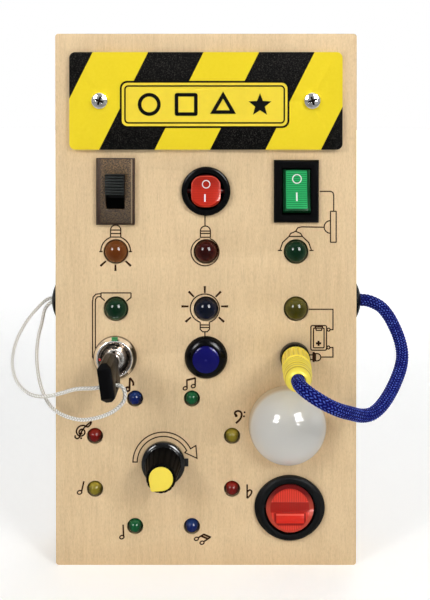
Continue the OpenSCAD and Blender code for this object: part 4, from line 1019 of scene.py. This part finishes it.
# ---- cords
BLUE_ROUTE = [(40.31, -50, 98.2), (39.96, -57, 98.2), (39.61, -64, 98.2), (40.1, -70.6, 98),
    (42.4, -75.8, 96.9), (46.4, -78.4, 94.7), (51.4, -77.6, 91.7), (56.4, -73.8, 88.7),
    (61.4, -68.2, 85.9), (66.9, -61.4, 82.9), (71.8, -56.4, 82), (76.2, -51, 83), (80.2, -45.4, 85.2),
    (83.8, -39.8, 88.1), (87, -34.2, 91.4), (89.7, -28.6, 94.7), (91.6, -23.2, 98),
    (92.3, -18.2, 101.6), (91.9, -13.4, 105.7), (90.5, -9.4, 110.1), (88.1, -6.6, 114.9),
    (84.5, -5.2, 119.1), (79.4, -5, 121.7), (74.8, -5, 122.4), (68, -5, 122.5), (60, -5, 122.5)]
STRING_ROUTE = [(-60, -5, 123.5), (-66, -5, 123.5), (-72, -5, 123.5), (-75, -5, 123.4),
    (-78.4, -5.4, 121.9), (-82.3, -6.8, 118), (-85.5, -8.4, 114.2), (-88.1, -10.4, 110),
    (-90, -13, 105.8), (-91, -16, 101.7), (-91.1, -19.4, 97.6), (-90.3, -23, 93.8),
    (-88.4, -26.8, 90.3), (-85.1, -31, 87.3), (-80.7, -35.4, 85.4), (-75.4, -39.4, 85),
    (-69.4, -42.8, 86.2), (-63.6, -45.6, 88.3), (-57, -48.6, 90.8), (-49.2, -50.9, 91.8),
    (-45.7, -51, 92.3), (-42, -51, 92.8), (-38.6, -51, 93.2), (-36.3, -51.7, 92.5),
    (-35.1, -52.6, 90.1), (-35.4, -52.8, 87.1), (-37.7, -51.6, 83.9), (-41, -49.4, 80.9),
    (-45.7, -47.2, 78.3), (-50.9, -44.8, 76.4), (-56.1, -42.2, 75.3), (-61.5, -39, 75.4),
    (-66.6, -35.2, 76.2), (-71.2, -30.8, 78), (-74.8, -26, 81.1), (-77.6, -21.2, 85.1),
    (-79.6, -16.8, 89.9), (-80.9, -13, 95.1), (-81.3, -10, 100.6), (-80.9, -7.8, 105.9),
    (-79.7, -6.6, 111), (-78.6, -5.6, 116.8), (-77.1, -5.1, 119.7), (-75, -5, 121.3), (-72, -5, 121.5),
    (-66, -5, 121.5), (-60, -5, 121.5)]
CORD_D, STRING_D = 6 * MM, 1.8 * MM
# Sides of the tube, strands each way, length of a stitch, relief as a share of the radius, seed
CORD_BRAID, STRING_BRAID = (96, 14, 1.6 * MM, 0.2, 5), (36, 4, 1.5 * MM, 0.24, 9)
CORD_STEP, STRING_STEP = 0.3 * MM, 0.25 * MM


def in_metres(point):
    return tuple(c * MM for c in point)


def blue_cord():
    path, length = smooth_path([in_metres(p) for p in BLUE_ROUTE], CORD_STEP)
    cord = braided_tube("cord_braid", path, CORD_D, M["cord_blue"], CORD_BRAID)
    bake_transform(cord)
    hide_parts("blue_cord")


def string_piece(name, path, first, last):
    """A stretch of the string's path; from start to end it goes over from one body to the other."""
    stretch, before = path[first:last + 1], path_length(path[:first + 1])
    piece = braided_tube(name, stretch, STRING_D, M["string_white"], STRING_BRAID, before)
    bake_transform(piece)
    path_length(stretch)
    return piece


def key_string():
    """A loop from the grommet through the bow and back, in three pieces."""
    path, _ = smooth_path([in_metres(p) for p in STRING_ROUTE], STRING_STEP)
    bow_in, bow_out = STRING_ROUTE[17], STRING_ROUTE[29]
    cut_in, cut_out = (min(range(len(path)), key=lambda i: (path[i] - Vector(in_metres(cut))).length)
                       for cut in (bow_in, bow_out))
    upper = string_piece("string_upper", path, 0, cut_in)
    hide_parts("key_string")
    string_piece("string_bow", path, cut_in, cut_out)
    string_piece("string_lower", path, cut_out, len(path) - 1)


blue_cord()
key_string()

# ---- the lock's marks
RED_DOT, DOT_R, DOT_H, LOCK_FACE_H = (-6.9, -0.4), 0.55, 3.3, 3.1
# Corners of the green mark from the lock's middle, on the slope of its rim
GREEN_MARK = ((-1.3, 8.5), (1.3, 8.5), (1.5, 9.9), (-1.5, 9.9))
GREEN_BACK_H, RIM_EDGE_H, RIM_EDGE, RIM_SLOPE, MARK_LIFT = 2.4, 0.8, 10.2, 1.78, 0.06


def on_lock_rim(x, z):
    return RIM_EDGE_H + (RIM_EDGE - (z - LOCK_Z)) * RIM_SLOPE + MARK_LIFT


def lock_marks():
    red = Shape()
    red.lathe((LOCK_X + RED_DOT[0], LOCK_Z + RED_DOT[1]),
              [(0, DOT_H), (DOT_R, DOT_H), (DOT_R, LOCK_FACE_H), (0, LOCK_FACE_H)], 16)
    red.make("lock_mark_red", M["mark_red"], "root", "chrome")
    green = Shape(level(GREEN_BACK_H), on_lock_rim)
    green.fill([(LOCK_X + x, LOCK_Z + z) for x, z in GREEN_MARK])
    green.make("lock_mark_green", M["mark_green"], "root", "chrome")


lock_marks()


# ---- floor, world, lamps
def add_floor(half=30):
    mesh = bpy.data.meshes.new("floor")
    corners = [(-half, -half, 0), (half, -half, 0), (half, half, 0), (-half, half, 0)]
    mesh.from_pydata(corners, [], [(0, 1, 2, 3)])
    mesh.materials.append(floor_look())
    add_object("floor", mesh)


# Two tall windows of the studio: azimuth, elevation, half width, half height, strength
WINDOWS = ((36, 30, 0.2, 0.28, 44.0), (-41, 29, 0.15, 0.2, 36.0))


def part_along(direction, axis):
    node = add_node(direction.tree, "VectorMath", {0: direction, 1: axis}, operation="DOT_PRODUCT")
    return Value(node, "Value")


def window_pane(direction, azimuth, elevation, half_w, half_h):
    """1 where a direction of the sky lies in the window."""
    sin_a, cos_a = sin(radians(azimuth)), cos(radians(azimuth))
    sin_e, cos_e = sin(radians(elevation)), cos(radians(elevation))
    ahead = part_along(direction, (sin_a * cos_e, -cos_a * cos_e, sin_e))
    right = part_along(direction, (cos_a, sin_a, 0))
    up = part_along(direction, (-sin_e * sin_a, sin_e * cos_a, cos_e))
    inside = calc("LESS_THAN", abs(right / ahead), half_w) * calc("LESS_THAN", abs(up / ahead), half_h)
    return inside * calc("GREATER_THAN", ahead, 0.0)


def add_world():
    """Soft even light. The camera sees white; gloss sees white behind, dimness in front, and windows."""
    world = bpy.data.worlds.new("world")
    bpy.context.scene.world = world
    world.use_nodes = True
    tree = world.node_tree
    rays = add_node(tree, "LightPath")
    glossy = Value(rays, "Is Glossy Ray")
    direction = Value(add_node(tree, "TexCoord"), "Generated")
    soft = tree.nodes["Background"]
    feed(soft.inputs["Color"], (0.97, 0.985, 1.0))
    feed(soft.inputs["Strength"], 0.37)
    white = add_node(tree, "Background", {"Color": (1, 1, 1), "Strength": 1.0})
    in_gloss = glossy * axes(direction)[1].span(-0.35, 0.25, 0.07, 1.0)
    shown = calc("MAXIMUM", Value(rays, "Is Camera Ray"),
                 calc("MAXIMUM", in_gloss, Value(rays, "Is Transmission Ray")))
    backdrop = add_node(tree, "MixShader", {0: shown, 1: Value(soft), 2: Value(white)})
    gleam = 0.0
    for *window, strength in WINDOWS:
        gleam = calc("ADD", gleam, window_pane(direction, *window) * strength)
    windows = add_node(tree, "Background", {"Strength": gleam * glossy})
    sky = add_node(tree, "AddShader", {0: Value(backdrop), 1: Value(windows)})
    feed(tree.nodes["World Output"].inputs["Surface"], Value(sky))


# Name, place, size, power, colour
LAMPS = (("softbox_left", (-0.70, -0.87, 0.60), (0.29, 0.29), 3.6, (1.0, 0.99, 0.97)),
         ("softbox_right", (0.62, -0.95, 0.64), (0.29, 0.29), 4.75, (1.0, 0.99, 0.97)),
         ("top", (0.0, -0.3, 1.5), (0.9, 0.35), 1.3, (1, 1, 1)),
         ("rear", (0.5, 1.4, 1.0), (0.8, 0.8), 6.0, (1, 1, 1)))
LAMP_TARGET = (0, 0, 0.12)


def add_lamp(name, place, size, power, colour):
    data = bpy.data.lights.new(name, "AREA")
    data.shape = "RECTANGLE"
    data.size, data.size_y = size
    data.energy = power
    data.color = colour
    lamp = add_object(name, data)
    lamp.location = place
    lamp.rotation_euler = (Vector(LAMP_TARGET) - Vector(place)).to_track_quat("-Z", "Y").to_euler()


add_floor()
add_world()
for row in LAMPS:
    add_lamp(*row)

bpy.context.scene.view_settings.view_transform = "Standard"
